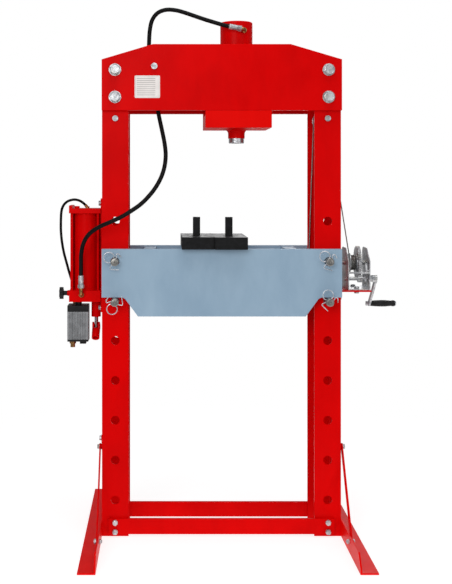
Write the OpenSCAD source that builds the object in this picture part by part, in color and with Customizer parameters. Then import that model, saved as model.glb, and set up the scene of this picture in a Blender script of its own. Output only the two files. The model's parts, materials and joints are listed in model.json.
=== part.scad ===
// Hydraulic shop press with a bolted H frame, a winch-lifted table, a cylinder that
// slides along the crown and an air-over-oil pump. Millimetres, +Z up, floor at Z = 0.
// X = 0 is midway between the columns, Y = 0 is the middle of their depth, -Y is the front.

/* [Frame] */
// Clear width between the two columns
clear_width = 700; // [580:10:900]
// Width of a column's front face
column_face = 100; // [90:5:130]
// Depth of a column, front to back
column_depth = 200; // [180:5:240]
// Thickness of a column's two flanges
flange_t = 11; // [7:0.5:13]
// Thickness of a column's web
web_t = 8.5; // [6:0.5:11]
// Height of the crown's lower edge above the floor
crown_height = 1602; // [1330:2:1930]
// Height of the crown plates at mid span
crown_rise = 248; // [220:2:300]
// Thickness of the crown plates
crown_plate_t = 25; // [16:1:32]
// Length of each foot, front to back
foot_length = 1000; // [830:10:1200]
// Leg of the foot's angle section
foot_leg = 63; // [52:1:76]
// Thickness of the foot's angle section
foot_t = 6; // [4:0.5:8]
// Height of the lower cross beams
beam_h = 58; // [50:1:70]
// Thickness of the lower cross beams
beam_t = 12; // [8:1:16]

/* [Table] */
// Height of the lowest pin hole above the floor
first_hole = 136; // [110:2:160]
// Spacing of the pin holes
hole_pitch = 150; // [125:5:180]
// Diameter of the support pins
pin_d = 30; // [25:1:36]
// Play of a pin in its hole, on the diameter
pin_play = 3; // [1:0.5:4]
// Height of the table plates at their ends
table_end_h = 181; // [150:1:215]
// Extra depth of the table plates at mid span
table_drop = 71; // [50:1:85]
// Thickness of the table plates
table_plate_t = 25; // [16:1:32]
// Width of one press block
block_w = 122; // [100:1:146]
// Height of one press block
block_h = 46; // [38:1:56]
// Depth of one press block
block_d = 300; // [270:5:360]

/* [Cylinder] */
// Outer diameter of the cylinder
cylinder_d = 124; // [114:1:126]
// Bore of the cylinder
cylinder_bore = 100; // [84:1:102]
// Diameter of the ram
ram_d = 59; // [50:1:70]
// Length of the ram that shows below its neck
ram_reach = 19; // [10:1:24]
// Place of the cylinder along the crown, from the middle
carriage_x = 63; // [40:1:80]
// Length of the saddle along the crown
saddle_l = 249; // [230:1:300]
// Height of the cylinder's top above the crown
cylinder_over = 97; // [80:1:120]

/* [Winch and pump] */
// Diameter of the lifting rope
rope_d = 5; // [4:0.5:6]
// Teeth of the winch's large gear
gear_teeth = 42; // [36:1:48]
// Teeth of the winch's pinion
pinion_teeth = 8; // [8:1:10]
// Tooth module of the winch gears
tooth_module = 3; // [2.5:0.1:3.2]
// Reach of the winch crank
crank_reach = 175; // [145:1:210]
// Diameter of the oil reservoir
reservoir_d = 94; // [78:1:100]
// Side of the square air motor
motor_side = 80; // [68:1:84]

/* [Hidden] */

PAINT = [0.80, 0.02, 0.02];
ZINC = [0.72, 0.72, 0.70];
BLACK = [0.10, 0.10, 0.11];
TABLE_BLUE = [0.55, 0.67, 0.75];
BRASS = [0.72, 0.55, 0.25];

// radial clearance of a running fit, and the gap left between other moving faces
run_fit = 0.05;
gap = 0.3;
// clearance of a bolt in its hole, on the diameter
bolt_play = 1;

half_in = clear_width / 2;
half_out = half_in + column_face;
half_mid = half_in + column_face / 2;
half_depth = column_depth / 2;
root_r = 10;
column_top = crown_height + 175;

// pin holes: all eight in a column, and the two that carry the table
hole_d = pin_d + pin_play;
hole_count = 8;
lower_pin_z = first_hole + 5 * hole_pitch;
upper_pin_z = lower_pin_z + hole_pitch;
table_end_z = lower_pin_z + pin_d / 2 + gap;
table_top = table_end_z + table_end_h;
table_low = table_end_z - table_drop;
table_gap = 2;
table_in = half_depth + table_gap;
table_out = table_in + table_plate_t;

// crown
crown_out = half_depth + crown_plate_t;
crown_top = crown_height + crown_rise;
crown_bolt_d = 24;
crown_bolt_zs = [crown_height + 50, crown_height + 152];
ledge_z = crown_height + 38;
ledge_h = 16;
ledge_w = 16;
guide_rod = [-(half_in - 97), crown_height + 165];
guide_rod_d = 14;

// base
beam_low = 11;
beam_bolt_d = 12;
beam_bolt_zs = [beam_low + 9, beam_low + beam_h - 14];
strut_top = [half_depth - 32, 330];
strut_foot = [half_depth + 180, 40];
strut_bolt_d = 10;
strut_t = 5;
strut_face = half_out + foot_t + strut_t;

// lifting rope
sheave_z = crown_height - 29;
sheave_y = half_depth - flange_t - 10;
sheave_half = 6;
strap_half = 5;
rope_r = 28;
small_rope_r = 22;
table_sheave_x = half_in - 23;
table_sheave_z = table_end_z + 24;
anchor_x = -(half_mid - 24);
sheave_axle_d = 16;
table_axle_d = 12;
// gap between the ends of two lengths of rope that meet at an angle
rope_gap = 1;

// winch: the drum's axle and the pinion's shaft both lie along X
drum_y = 47;
drum_z = 1019;
gear_c = (gear_teeth + pinion_teeth) * tooth_module / 2;
pinion_y = 0;
pinion_z = drum_z - sqrt(gear_c * gear_c - drum_y * drum_y);
drum_core_r = 22;
coil_r = 30;
drum_axle_d = 16;
pinion_shaft_d = 14;
shelf_z = 914;
shelf_t = 6;
cheek_t = 4;
cheek_left = half_out + 37;
cheek_right = half_out + 118;
gear_x = half_out + 83;
gear_w = 12;
pinion_w = 18;
crank_x = half_out + 148;
crank_dir = [0.774, -0.633];
grip_y = pinion_y + crank_reach * crank_dir[0];
grip_z = pinion_z + crank_reach * crank_dir[1];
grip_x = crank_x + 7;
grip_l = 98;
pawl_pin = [-28, 994];
ratchet_r = 20;
rope_out = [half_out + 66, drum_y + coil_r + rope_d / 2 + gap, drum_z];
shelf_bolt_z = 890;
shelf_bolt_ys = [-20, 66];
frame_bolt_x = half_out + 75;
frame_bolt_ys = [-10, 70];

// pump
bracket_bolt_d = 10;
pump_bolt_ys = [-30, 30];
pump_bolt_zs = [852, 1252];
pump_x = -(half_out + 66);
block_z = 877;
block_top = 920;
tank_top = 1214;
plate_top = 1232;
bracket_t = 8;
block_left = -(half_out + 128);
block_right = -(half_out + bracket_t);
block_half = 60;
motor_x = -(half_out + 96);
motor_low = 731;
motor_high = 837;
knob_z = 905;
hand_x = -(half_out + 28);
hand_low = 815;
plunger_d = 12;
yoke_z = 783;
fulcrum_y = 26;
fulcrum_z = 772;
pump_hose_x = pump_x - 14;
pump_hose_y = -85;
shelf_rear = 112;
port_y = -(cylinder_d / 2 + 23);
filler = [pump_x - 34, -20];
filler_d = 14;
tail = [pump_x - 5, 20, 1244];
elbow = [motor_x - 20, motor_side / 2 + 31];
elbow_top = 868;

// cylinder
cyl_low = crown_height - 72;
cyl_top = crown_top + cylinder_over;
neck_low = crown_height - 101;
ram_tip = neck_low - ram_reach;
gland_top = cyl_low + 35;
bore_top = cyl_top - 32;
piston_h = 36;
piston_low = bore_top - 6 - piston_h;
saddle_low = crown_height - 65;
saddle_top = crown_height - 16;
cheek_in = half_depth - ledge_w - 20;
shoe_z = ledge_z + ledge_h;
port_x = carriage_x + 25;
port_z = cyl_top - 37;
port_d = 10;
seal_z = piston_low + 12;
seal_h = 10;
seal_deep = 6;

// Route of the hydraulic hose, from the pump's valve block to the cylinder
hydraulic_d = 16;
HYDRAULIC = [[-530, -85, 980], [-530, -85, 1020], [-529, -90, 1060], [-521, -104, 1098],
    [-504, -124, 1130], [-478, -146, 1154], [-446, -165, 1172], [-410, -178, 1188],
    [-372, -184, 1206], [-336, -181, 1228], [-302, -172, 1252], [-272, -158, 1282],
    [-246, -142, 1316], [-226, -125, 1354], [-214, -110, 1394], [-210, -97, 1436],
    [-214, -86, 1478], [-222, -76, 1520], [-231, -67, 1562], [-240, -59, 1606],
    [-250, -53, 1650], [-260, -48, 1695], [-269, -45, 1740], [-274, -43, 1785],
    [-274, -42, 1830], [-273, -42, 1875], [-270, -43, 1916], [-261, -46, 1952],
    [-240, -50, 1978], [-209, -54, 1989], [-174, -58, 1987], [-138, -63, 1977],
    [-100, -69, 1963], [-62, -76, 1949], [-26, -82, 1937], [10, -85, 1926], [30, -85, 1922]];

// Route of the air hose, from the top plate round the tank to the air motor
air_d = 10;
AIR = [[-521, 20, 1244], [-527, 20, 1250], [-538, 20, 1258], [-550, 20, 1263],
    [-564, 20, 1265], [-577, 20, 1263], [-590, 20, 1258], [-601, 21, 1249],
    [-609, 22, 1237], [-614, 24, 1221], [-616, 26, 1200], [-617, 29, 1172],
    [-617, 32, 1144], [-615, 36, 1114], [-611, 41, 1082], [-605, 47, 1050],
    [-597, 54, 1018], [-589, 61, 986], [-580, 67, 954], [-571, 70, 924],
    [-567, 71, 898], [-566, 71, 880], [-566, 71, 868]];

// ---------- shared shapes ----------
module block3(lo, hi) {
    translate(lo) cube(hi - lo);
}
module rod_x(d, x0, x1, y, z) {
    translate([x0, y, z]) rotate([0, 90, 0]) cylinder(d = d, h = x1 - x0, $fn = 64);
}
module rod_y(d, x, y0, y1, z) {
    translate([x, y0, z]) rotate([-90, 0, 0]) cylinder(d = d, h = y1 - y0, $fn = 64);
}
module rod_z(d, x, y, z0, z1) {
    translate([x, y, z0]) cylinder(d = d, h = z1 - z0, $fn = 64);
}
module hex_x(flats, x0, x1, y, z) {
    translate([x0, y, z]) rotate([0, 90, 0]) cylinder(d = flats / cos(30), h = x1 - x0, $fn = 6);
}
module hex_y(flats, x, y0, y1, z) {
    translate([x, y0, z]) rotate([-90, 0, 0]) cylinder(d = flats / cos(30), h = y1 - y0, $fn = 6);
}
module hex_z(flats, x, y, z0, z1) {
    translate([x, y, z0]) cylinder(d = flats / cos(30), h = z1 - z0, $fn = 6);
}
// a bolt along +Y: head outside at y0, shank to y1, nut against the inner face at y_nut
module bolt_y(d, flats, washer, x, y0, y_nut, z) {
    side = sign(y_nut - y0);
    module at(a) {
        translate([x, y0, z]) rotate([-90 * side, 0, 0]) translate([0, 0, a]) children();
    }
    union() {
        at(-2.5) cylinder(d = washer, h = 2.5, $fn = 64);
        at(-2.5 - 0.65 * d) cylinder(d = flats / cos(30), h = 0.65 * d, $fn = 6);
        at(-2.5) cylinder(d = d, h = abs(y_nut - y0) + 2.5 + d * 1.1, $fn = 64);
        at(abs(y_nut - y0)) cylinder(d = flats / cos(30), h = 0.8 * d, $fn = 6);
    }
}
// a bolt along X: head outside at x0, nut against the far face at x_nut
module bolt_x(d, flats, x0, x_nut, y, z) {
    side = sign(x_nut - x0);
    long = abs(x_nut - x0);
    translate([x0, y, z]) rotate([0, 90 * side, 0]) union() {
        translate([0, 0, -2]) cylinder(d = flats + 3, h = 2, $fn = 64);
        translate([0, 0, -2 - 0.65 * d]) cylinder(d = flats / cos(30), h = 0.65 * d, $fn = 6);
        translate([0, 0, -2]) cylinder(d = d, h = long + 2 + 1.1 * d, $fn = 64);
        translate([0, 0, long]) cylinder(d = flats / cos(30), h = 0.8 * d, $fn = 6);
    }
}
function arc(c, r, a0, a1, n) = [for (i = [0:n]) let (a = a0 + (a1 - a0) * i / n) c + r * [cos(a), sin(a)]];
function unit(v) = v / norm(v);
// direction of a route at its point i
function along(p, i) = unit(p[min(i + 1, len(p) - 1)] - p[max(i - 1, 0)]);
// a ring of n points round point i, square to the route
function ring(p, i, r, n, up) =
    let (t = along(p, i), a = unit(cross(t, up)), b = cross(t, a))
    [for (k = [0:n - 1]) p[i] + r * (cos(360 * k / n) * a + sin(360 * k / n) * b)];
// a round tube of diameter d along the route p
module tube(p, d, n = 10, up = [0, 1, 0]) {
    last = len(p) - 1;
    points = [for (i = [0:last]) each ring(p, i, d / 2, n, up)];
    sides = [for (i = [0:last - 1], k = [0:n - 1])
        [i * n + k, i * n + (k + 1) % n, (i + 1) * n + (k + 1) % n, (i + 1) * n + k]];
    start = [for (k = [0:n - 1]) n - 1 - k];
    end = [for (k = [0:n - 1]) last * n + k];
    polyhedron(points = points, faces = concat([start], sides, [end]));
}

// ---------- frame ----------
module column_section() {
    inner_y = half_depth - flange_t;
    inner_x = half_out - web_t;
    polygon(concat(
        [[half_in, -half_depth], [half_out, -half_depth], [half_out, half_depth],
            [half_in, half_depth], [half_in, inner_y]],
        arc([inner_x - root_r, inner_y - root_r], root_r, 90, 0, 6),
        arc([inner_x - root_r, -inner_y + root_r], root_r, 0, -90, 6),
        [[half_in, -inner_y]]));
}
module column() {
    difference() {
        linear_extrude(column_top) column_section();
        for (i = [0:hole_count - 1])
            rod_y(hole_d, half_mid, -half_depth - 1, half_depth + 1, first_hole + i * hole_pitch);
        for (z = crown_bolt_zs)
            rod_y(crown_bolt_d + bolt_play, half_mid, -half_depth - 1, half_depth + 1, z);
        for (z = beam_bolt_zs)
            rod_y(beam_bolt_d + bolt_play, half_mid, -half_depth - 1, half_depth + 1, z);
        rod_y(sheave_axle_d + bolt_play, half_mid, -half_depth - 1, half_depth + 1, sheave_z);
        for (s = [-1, 1])
            rod_x(strut_bolt_d + bolt_play, half_out - web_t - 1, half_out + 1,
                s * strut_top[0], strut_top[1]);
        for (y = pump_bolt_ys, z = pump_bolt_zs)
            rod_x(bracket_bolt_d + bolt_play, half_out - web_t - 1, half_out + 1, y, z);
    }
}

module column_left() {
    color(PAINT) mirror([1, 0, 0]) column();
}
// height of the rope between the top sheave and the drum where it crosses the plane at x
function rope_height(x) =
    sheave_z + (drum_z - sheave_z) * (x - half_mid - rope_r) / (rope_out[0] - half_mid - rope_r);
module column_right() {
    slot_half = 7;
    slot_over = 30;
    color(PAINT) difference() {
        column();
        block3([half_out - web_t - 1, sheave_y - slot_half, rope_height(half_out) - slot_over],
            [half_out + 1, sheave_y + slot_half, rope_height(half_out - web_t) + slot_over]);
        for (y = shelf_bolt_ys)
            rod_x(bracket_bolt_d + bolt_play, half_out - web_t - 1, half_out + 1, y, shelf_bolt_z);
    }
}
module crown_outline() {
    shoulder = 192;
    shoulder_h = 57;
    polygon([[-half_out, crown_height], [half_out, crown_height],
        [half_out, crown_top - shoulder_h], [half_out - shoulder, crown_top],
        [-half_out + shoulder, crown_top], [-half_out, crown_top - shoulder_h]]);
}
// a crown plate with its welded ledge on the inside; side is -1 at the front, 1 at the rear
module crown_plate(side) {
    inner = side * half_depth;
    low = min(inner, side * crown_out);
    color(PAINT) union() {
        difference() {
            translate([0, low + crown_plate_t, 0]) rotate([90, 0, 0])
                linear_extrude(crown_plate_t) crown_outline();
            for (x = [-half_mid, half_mid], z = crown_bolt_zs)
                rod_y(crown_bolt_d + bolt_play, x, low - 1, low + crown_plate_t + 1, z);
            rod_y(guide_rod_d + bolt_play, guide_rod[0], low - 1, low + crown_plate_t + 1, guide_rod[1]);
        }
        block3([-half_in + 15, min(inner, inner - side * ledge_w), ledge_z],
            [half_in - 15, max(inner, inner - side * ledge_w), ledge_z + ledge_h]);
    }
}
module crown_front_plate() {
    crown_plate(-1);
}
module crown_rear_plate() {
    crown_plate(1);
}
module crown_bolts() {
    color(ZINC) for (x = [-half_mid, half_mid], s = [-1, 1], z = crown_bolt_zs)
        bolt_y(crown_bolt_d, 36, 46, x, s * crown_out, s * (half_depth - flange_t), z);
}
module lower_beams() {
    end = half_out - 26;
    color(PAINT) for (s = [-1, 1]) difference() {
        block3([-end, min(s * half_depth, s * (half_depth + beam_t)), beam_low],
            [end, max(s * half_depth, s * (half_depth + beam_t)), beam_low + beam_h]);
        for (x = [-half_mid, half_mid], z = beam_bolt_zs)
            rod_y(beam_bolt_d + bolt_play, x, s * (half_depth + beam_t / 2) - beam_t,
                s * (half_depth + beam_t / 2) + beam_t, z);
    }
}
module foot() {
    half = foot_length / 2;
    cut = foot_leg - foot_t - 12;
    color(PAINT) difference() {
        union() {
            block3([half_out, -half, 0], [half_out + foot_leg, half, foot_t]);
            translate([half_out + foot_t, 0, 0]) rotate([90, 0, -90]) linear_extrude(foot_t)
                polygon([[-half, 0], [half, 0], [half, foot_leg - cut], [half - cut, foot_leg],
                    [-half + cut, foot_leg], [-half, foot_leg - cut]]);
        }
        for (s = [-1, 1])
            rod_x(strut_bolt_d + bolt_play, half_out - 1, half_out + foot_t + 1,
                s * strut_foot[0], strut_foot[1]);
    }
}
module foot_left() {
    mirror([1, 0, 0]) foot();
}
module foot_right() {
    foot();
}
module strut() {
    reach = strut_foot[0] - strut_top[0];
    fall = strut_top[1] - strut_foot[1];
    long = sqrt(reach * reach + fall * fall);
    end_r = 12.5;
    difference() {
        union() {
            // the bar's own frame runs from the foot bolt up to the column bolt
            translate([half_out + foot_t, strut_foot[0], strut_foot[1]]) rotate([atan2(reach, fall), 0, 0])
                rotate([90, 0, 90]) linear_extrude(strut_t) {
                    circle(r = end_r, $fn = 48);
                    translate([0, long]) circle(r = end_r, $fn = 48);
                    translate([-end_r, 0]) square([2 * end_r, long]);
                }
            // packing washer between the bar and the column
            rod_x(2 * end_r - 4, half_out, half_out + foot_t, strut_top[0], strut_top[1]);
        }
        for (p = [strut_top, strut_foot])
            rod_x(strut_bolt_d + bolt_play, half_out - 1, strut_face + 1, p[0], p[1]);
    }
}
module foot_struts() {
    color(PAINT) for (sx = [0, 1], sy = [0, 1])
        mirror([sx, 0, 0]) mirror([0, sy, 0]) strut();
}
module base_bolts() {
    color(ZINC) {
        for (x = [-half_mid, half_mid], s = [-1, 1], z = beam_bolt_zs)
            bolt_y(beam_bolt_d, 18, 20, x, s * (half_depth + beam_t), s * (half_depth - flange_t), z);
        for (sx = [0, 1], s = [-1, 1]) mirror([sx, 0, 0]) {
            bolt_x(strut_bolt_d, 16, strut_face, half_out - web_t, s * strut_top[0], strut_top[1]);
            bolt_x(strut_bolt_d, 16, strut_face, half_out, s * strut_foot[0], strut_foot[1]);
        }
    }
}
// the sheave's axle, the rope's anchor bolt with its strap, and the hose guide rod
module through_bolts() {
    head = 22;
    color(ZINC) {
        for (x = [-half_mid, half_mid]) {
            rod_y(sheave_axle_d, x, -half_depth, half_depth, sheave_z);
            for (s = [-1, 1])
                rod_y(head, x, min(s * half_depth, s * (half_depth + 7)),
                    max(s * half_depth, s * (half_depth + 7)), sheave_z);
        }
        // sleeve that holds the sheave at its place along the axle
        difference() {
            rod_y(24, half_mid, -half_depth + flange_t, sheave_y - sheave_half - gap, sheave_z);
            rod_y(sheave_axle_d, half_mid, -half_depth, half_depth, sheave_z);
        }
        // strap that carries the rope's fixed end
        difference() {
            union() {
                rod_y(34, -half_mid, sheave_y - strap_half, sheave_y + strap_half, sheave_z);
                block3([-half_mid, sheave_y - strap_half, sheave_z - 8],
                    [anchor_x + 9, sheave_y + strap_half, sheave_z + 8]);
            }
            rod_y(sheave_axle_d, -half_mid, sheave_y - strap_half - 1, sheave_y + strap_half + 1, sheave_z);
            rod_z(rope_d + bolt_play, anchor_x, sheave_y, sheave_z - 9, sheave_z + 9);
        }
        rod_y(guide_rod_d, guide_rod[0], -crown_out, crown_out, guide_rod[1]);
        for (s = [-1, 1])
            rod_y(24, guide_rod[0], min(s * crown_out, s * (crown_out + 8)),
                max(s * crown_out, s * (crown_out + 8)), guide_rod[1]);
    }
}

// ---------- lifting rope and its sheaves ----------
module sheave(x, z, rope_at, bore) {
    floor_r = rope_at - rope_d / 2 - gap;
    rim = rope_at + 5;
    groove = rope_d / 2 + gap;
    translate([x, sheave_y, z]) rotate([90, 0, 0]) rotate_extrude($fn = 96)
        polygon([[bore / 2 + run_fit, -sheave_half], [rim, -sheave_half], [rim, -sheave_half + 1],
            [floor_r, -groove], [floor_r, groove], [rim, sheave_half - 1], [rim, sheave_half],
            [bore / 2 + run_fit, sheave_half]]);
}
module top_sheave() {
    color(ZINC) sheave(half_mid, sheave_z, rope_r, sheave_axle_d);
}
module table_sheave_left() {
    color(ZINC) sheave(-table_sheave_x, table_sheave_z, small_rope_r, table_axle_d);
}
module table_sheave_right() {
    color(ZINC) sheave(table_sheave_x, table_sheave_z, small_rope_r, table_axle_d);
}
module table_sheave_axles() {
    color(ZINC) for (x = [-table_sheave_x, table_sheave_x]) {
        rod_y(table_axle_d, x, sheave_y - 20, table_in, table_sheave_z);
        rod_y(2 * table_axle_d, x, sheave_y - 20, sheave_y - sheave_half - gap, table_sheave_z);
    }
}
module rope_drop_left() {
    color(ZINC) tube([[anchor_x, sheave_y, sheave_z],
        [-(table_sheave_x + small_rope_r), sheave_y, table_sheave_z + rope_gap]], rope_d, 8);
}
module rope_drop_right() {
    color(ZINC) tube([[half_mid - rope_r, sheave_y, sheave_z - rope_gap],
        [table_sheave_x + small_rope_r, sheave_y, table_sheave_z + rope_gap]], rope_d, 8);
}
// the rope under the two table sheaves
module rope_table_run() {
    x = table_sheave_x;
    r = small_rope_r;
    left = [for (p = arc([-x, table_sheave_z], r, 180, 270, 8)) [p[0], sheave_y, p[1]]];
    right = [for (p = arc([x, table_sheave_z], r, 270, 360, 8)) [p[0], sheave_y, p[1]]];
    color(ZINC) tube(concat(left, right), rope_d, 8);
}
// the rope over the top sheave and down to the drum
module rope_winch_run() {
    over = [for (p = arc([half_mid, sheave_z], rope_r, 180, 0, 16)) [p[0], sheave_y, p[1]]];
    color(ZINC) tube(concat(over, [rope_out]), rope_d, 8);
}

// ---------- winch ----------
module winch_shelf() {
    color(PAINT) difference() {
        union() {
            block3([half_out, -52, shelf_z], [half_out + 124, shelf_rear, shelf_z + shelf_t]);
            block3([half_out, -52, shelf_z - 44], [half_out + shelf_t, half_depth - 1, shelf_z]);
        }
        for (y = shelf_bolt_ys)
            rod_x(bracket_bolt_d + bolt_play, half_out - 1, half_out + shelf_t + 1, y, shelf_bolt_z);
        for (y = frame_bolt_ys)
            rod_z(bracket_bolt_d + bolt_play, frame_bolt_x, y, shelf_z - 1, shelf_z + shelf_t + 1);
    }
}
module cheek_outline() {
    low = shelf_z + shelf_t;
    polygon(concat([[-44, low], [108, low]], arc([drum_y + 36, 1054], 25, 0, 90, 5),
        arc([drum_y - 14, 1054], 25, 90, 135, 4), [[-44, 1029]]));
}
module winch_frame() {
    low = shelf_z + shelf_t;
    color(ZINC) difference() {
        union() {
            for (x = [cheek_left, cheek_right])
                translate([x, 0, 0]) rotate([90, 0, 90]) linear_extrude(cheek_t) cheek_outline();
            block3([cheek_left, -44, low], [cheek_right + cheek_t, 108, low + cheek_t]);
            block3([cheek_left + cheek_t, -44, 983], [cheek_right, -40, 990]);
            rod_x(drum_axle_d, cheek_left - 8, cheek_right + cheek_t + 8, drum_y, drum_z);
            rod_x(8, cheek_right - 14, cheek_right, pawl_pin[0], pawl_pin[1]);
        }
        rod_x(pinion_shaft_d + 2 * run_fit, cheek_left - 1, cheek_right + cheek_t + 1, pinion_y, pinion_z);
        for (y = frame_bolt_ys)
            rod_z(bracket_bolt_d + bolt_play, frame_bolt_x, y, low - 1, low + cheek_t + 1);
    }
}
module bracket_bolts() {
    color(ZINC) {
        for (y = shelf_bolt_ys)
            bolt_x(bracket_bolt_d, 16, half_out + shelf_t, half_out - web_t, y, shelf_bolt_z);
        for (y = frame_bolt_ys) {
            rod_z(bracket_bolt_d, frame_bolt_x, y, shelf_z - 8, shelf_z + shelf_t + cheek_t + 8);
            hex_z(16, frame_bolt_x, y, shelf_z - 9, shelf_z);
            hex_z(16, frame_bolt_x, y, shelf_z + shelf_t + cheek_t, shelf_z + shelf_t + cheek_t + 7);
        }
        for (y = pump_bolt_ys, z = pump_bolt_zs) mirror([1, 0, 0])
            bolt_x(bracket_bolt_d, 16, half_out + bracket_t, half_out - web_t, y, z);
    }
}
module winch_drum() {
    flange_r = 39;
    left = half_out + 55;
    bore = drum_axle_d / 2 + run_fit;
    color(ZINC) translate([left, drum_y, drum_z]) rotate([0, 90, 0]) rotate_extrude($fn = 96)
        polygon([[bore, -14], [14, -14], [14, 0], [flange_r, 0], [flange_r, 3], [drum_core_r, 3],
            [drum_core_r, 25], [flange_r, 25], [flange_r, 28], [bore, 28]]);
}
// involute flank: half angle of a tooth at radius r
function inv(a) = tan(a) * 180 / PI - a;
function flank(teeth, r, thick) =
    let (base = teeth * tooth_module / 2 * cos(20))
    let (a = r > base ? acos(base / r) : 0)
    thick * 90 / teeth + inv(20) - inv(a);
module gear_outline(teeth, tip, root, thick) {
    pitch_r = teeth * tooth_module / 2;
    rs = [pitch_r - root, pitch_r - root / 2, pitch_r, pitch_r + tip / 2, pitch_r + tip];
    polygon([for (i = [0:teeth - 1]) let (mid = 360 * i / teeth)
        each concat(
            [for (r = rs) let (a = mid - flank(teeth, r, thick)) r * [cos(a), sin(a)]],
            [for (k = [4:-1:0]) let (a = mid + flank(teeth, rs[k], thick)) rs[k] * [cos(a), sin(a)]])]);
}
mesh_angle = atan2(pinion_z - drum_z, pinion_y - drum_y);
module winch_gear() {
    color(ZINC) difference() {
        translate([gear_x, drum_y, drum_z]) rotate([90, 0, 90]) linear_extrude(gear_w) difference() {
            rotate(mesh_angle) gear_outline(gear_teeth, 0.75 * tooth_module, 1.1 * tooth_module, 0.88);
            circle(d = drum_axle_d + 2 * run_fit, $fn = 64);
            for (k = [0:3]) rotate(45 + 90 * k) translate([36, 0]) circle(r = 12, $fn = 48);
        }
    }
}
module winch_rope_coil() {
    color(ZINC) difference() {
        rod_x(2 * coil_r, half_out + 59, half_out + 79, drum_y, drum_z);
        rod_x(2 * drum_core_r, half_out + 58, half_out + 80, drum_y, drum_z);
    }
}
module winch_pinion_shaft() {
    tooth = 360 / pinion_teeth;
    color(ZINC) union() {
        rod_x(pinion_shaft_d, cheek_left - 6, crank_x + 4, pinion_y, pinion_z);
        translate([gear_x - 3, pinion_y, pinion_z]) rotate([90, 0, 90]) linear_extrude(pinion_w)
            rotate(mesh_angle + 180 + tooth / 2)
                gear_outline(pinion_teeth, 0.9 * tooth_module, 0.9 * tooth_module, 0.80);
        // ratchet wheel beside the pinion
        translate([gear_x + 22, pinion_y, pinion_z]) rotate([90, 0, 90]) linear_extrude(7)
            polygon([for (i = [0:11], r = [ratchet_r, ratchet_r - 4])
                (r * [cos(30 * i + 60), sin(30 * i + 60)])]);
        hex_x(22, cheek_right + cheek_t + 2, cheek_right + cheek_t + 14, pinion_y, pinion_z);
    }
}
module winch_crank() {
    w = 22;
    t = 7;
    color(ZINC) difference() {
        union() {
            rod_x(28, cheek_right + cheek_t + 14, crank_x + t, pinion_y, pinion_z);
            translate([crank_x, pinion_y, pinion_z]) rotate([90, 0, 90]) linear_extrude(t)
                rotate(atan2(crank_dir[1], crank_dir[0])) union() {
                    translate([0, -w / 2]) square([crank_reach, w]);
                    translate([crank_reach, 0]) circle(d = w, $fn = 64);
                }
            rod_x(18, crank_x - 10, crank_x, grip_y, grip_z);
            rod_x(10, crank_x, grip_x + grip_l + 2, grip_y, grip_z);
            rod_x(18, grip_x + grip_l + gap, grip_x + grip_l + 4, grip_y, grip_z);
        }
        rod_x(pinion_shaft_d, cheek_right + cheek_t + 13, crank_x + 4, pinion_y, pinion_z);
        hex_x(22, cheek_right + cheek_t + 13, cheek_right + cheek_t + 14, pinion_y, pinion_z);
    }
}
module crank_grip() {
    color(BLACK) translate([grip_x + gap, grip_y, grip_z]) rotate([0, 90, 0]) rotate_extrude($fn = 96)
        polygon([[5 + run_fit, 0], [10, 0], [11, 5], [12.5, 26], [13, 46], [12.5, 62], [11, 78],
            [11.5, 84], [11, 90], [9, grip_l - gap], [5 + run_fit, grip_l - gap]]);
}
module winch_pawl() {
    tip = [-10.9, pinion_z + 18.9];
    color(ZINC) translate([gear_x + 22, 0, 0]) rotate([90, 0, 90]) linear_extrude(7) difference() {
        union() {
            translate(pawl_pin) circle(r = 8, $fn = 48);
            polygon([pawl_pin + [-7, -4], pawl_pin + [2, -8], tip, tip + [2.5, 6], pawl_pin + [4, 7]]);
            polygon([pawl_pin + [-7, 3], pawl_pin + [3, 6], pawl_pin + [4, 28], pawl_pin + [-2, 28]]);
        }
        translate(pawl_pin) circle(r = 4 + run_fit, $fn = 48);
    }
}

// ---------- pump ----------
module pump_bracket() {
    color(PAINT) difference() {
        block3([-half_out - bracket_t, -50, 837], [-half_out, 50, 1270]);
        for (y = pump_bolt_ys, z = pump_bolt_zs)
            rod_x(bracket_bolt_d + bolt_play, -half_out - bracket_t - 1, -half_out + 1, y, z);
    }
}
module pump_top_plate() {
    color(PAINT) difference() {
        union() {
            block3([block_left, -block_half, tank_top], [block_right, block_half, plate_top]);
            block3([block_left, -block_half, plate_top], [block_left + 12, block_half, plate_top + 12]);
        }
        rod_z(filler_d, filler[0], filler[1], tank_top - 1, plate_top + 1);
    }
}
module reservoir() {
    color(PAINT) difference() {
        rod_z(reservoir_d, pump_x, 0, block_top, tank_top);
        rod_z(reservoir_d - 8, pump_x, 0, block_top - 1, tank_top + 1);
    }
}
module reservoir_stays() {
    color(PAINT) {
        block3([block_left + 4, -42, block_top], [block_left + 14, 42, tank_top]);
        for (y = [-48, 48])
            rod_z(10, block_right - 10, y, block_top, tank_top);
        block3([block_left + 14, 53, block_top], [block_right, 58, tank_top]);
    }
}
module filler_cap() {
    color(PAINT) {
        rod_z(filler_d + 6, filler[0], filler[1], plate_top, plate_top + 9);
        rod_z(filler_d - bolt_play, filler[0], filler[1], tank_top, plate_top);
    }
}
module valve_block() {
    color(PAINT) difference() {
        union() {
            block3([block_left, -block_half, block_z], [block_right, block_half, block_top]);
            rod_x(22, block_left - 11, block_left, 0, knob_z);
        }
        rod_x(10 + 2 * run_fit, block_left - 12, block_left + 30, 0, knob_z);
    }
}
module release_knob() {
    outer = block_left - 41;
    color(BLACK) union() {
        translate([outer, 0, knob_z]) rotate([90, 0, 90]) linear_extrude(15) union() {
            circle(r = 17, $fn = 64);
            for (k = [0:5]) rotate(60 * k + 30) translate([17, 0]) circle(r = 6, $fn = 32);
        }
        rod_x(18, outer + 15, block_left - 11 - gap, 0, knob_z);
        rod_x(10, outer + 15, block_left + 28, 0, knob_z);
    }
}
module motor_square(side) {
    translate([motor_x - side / 2, -side / 2]) square(side);
}
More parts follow.
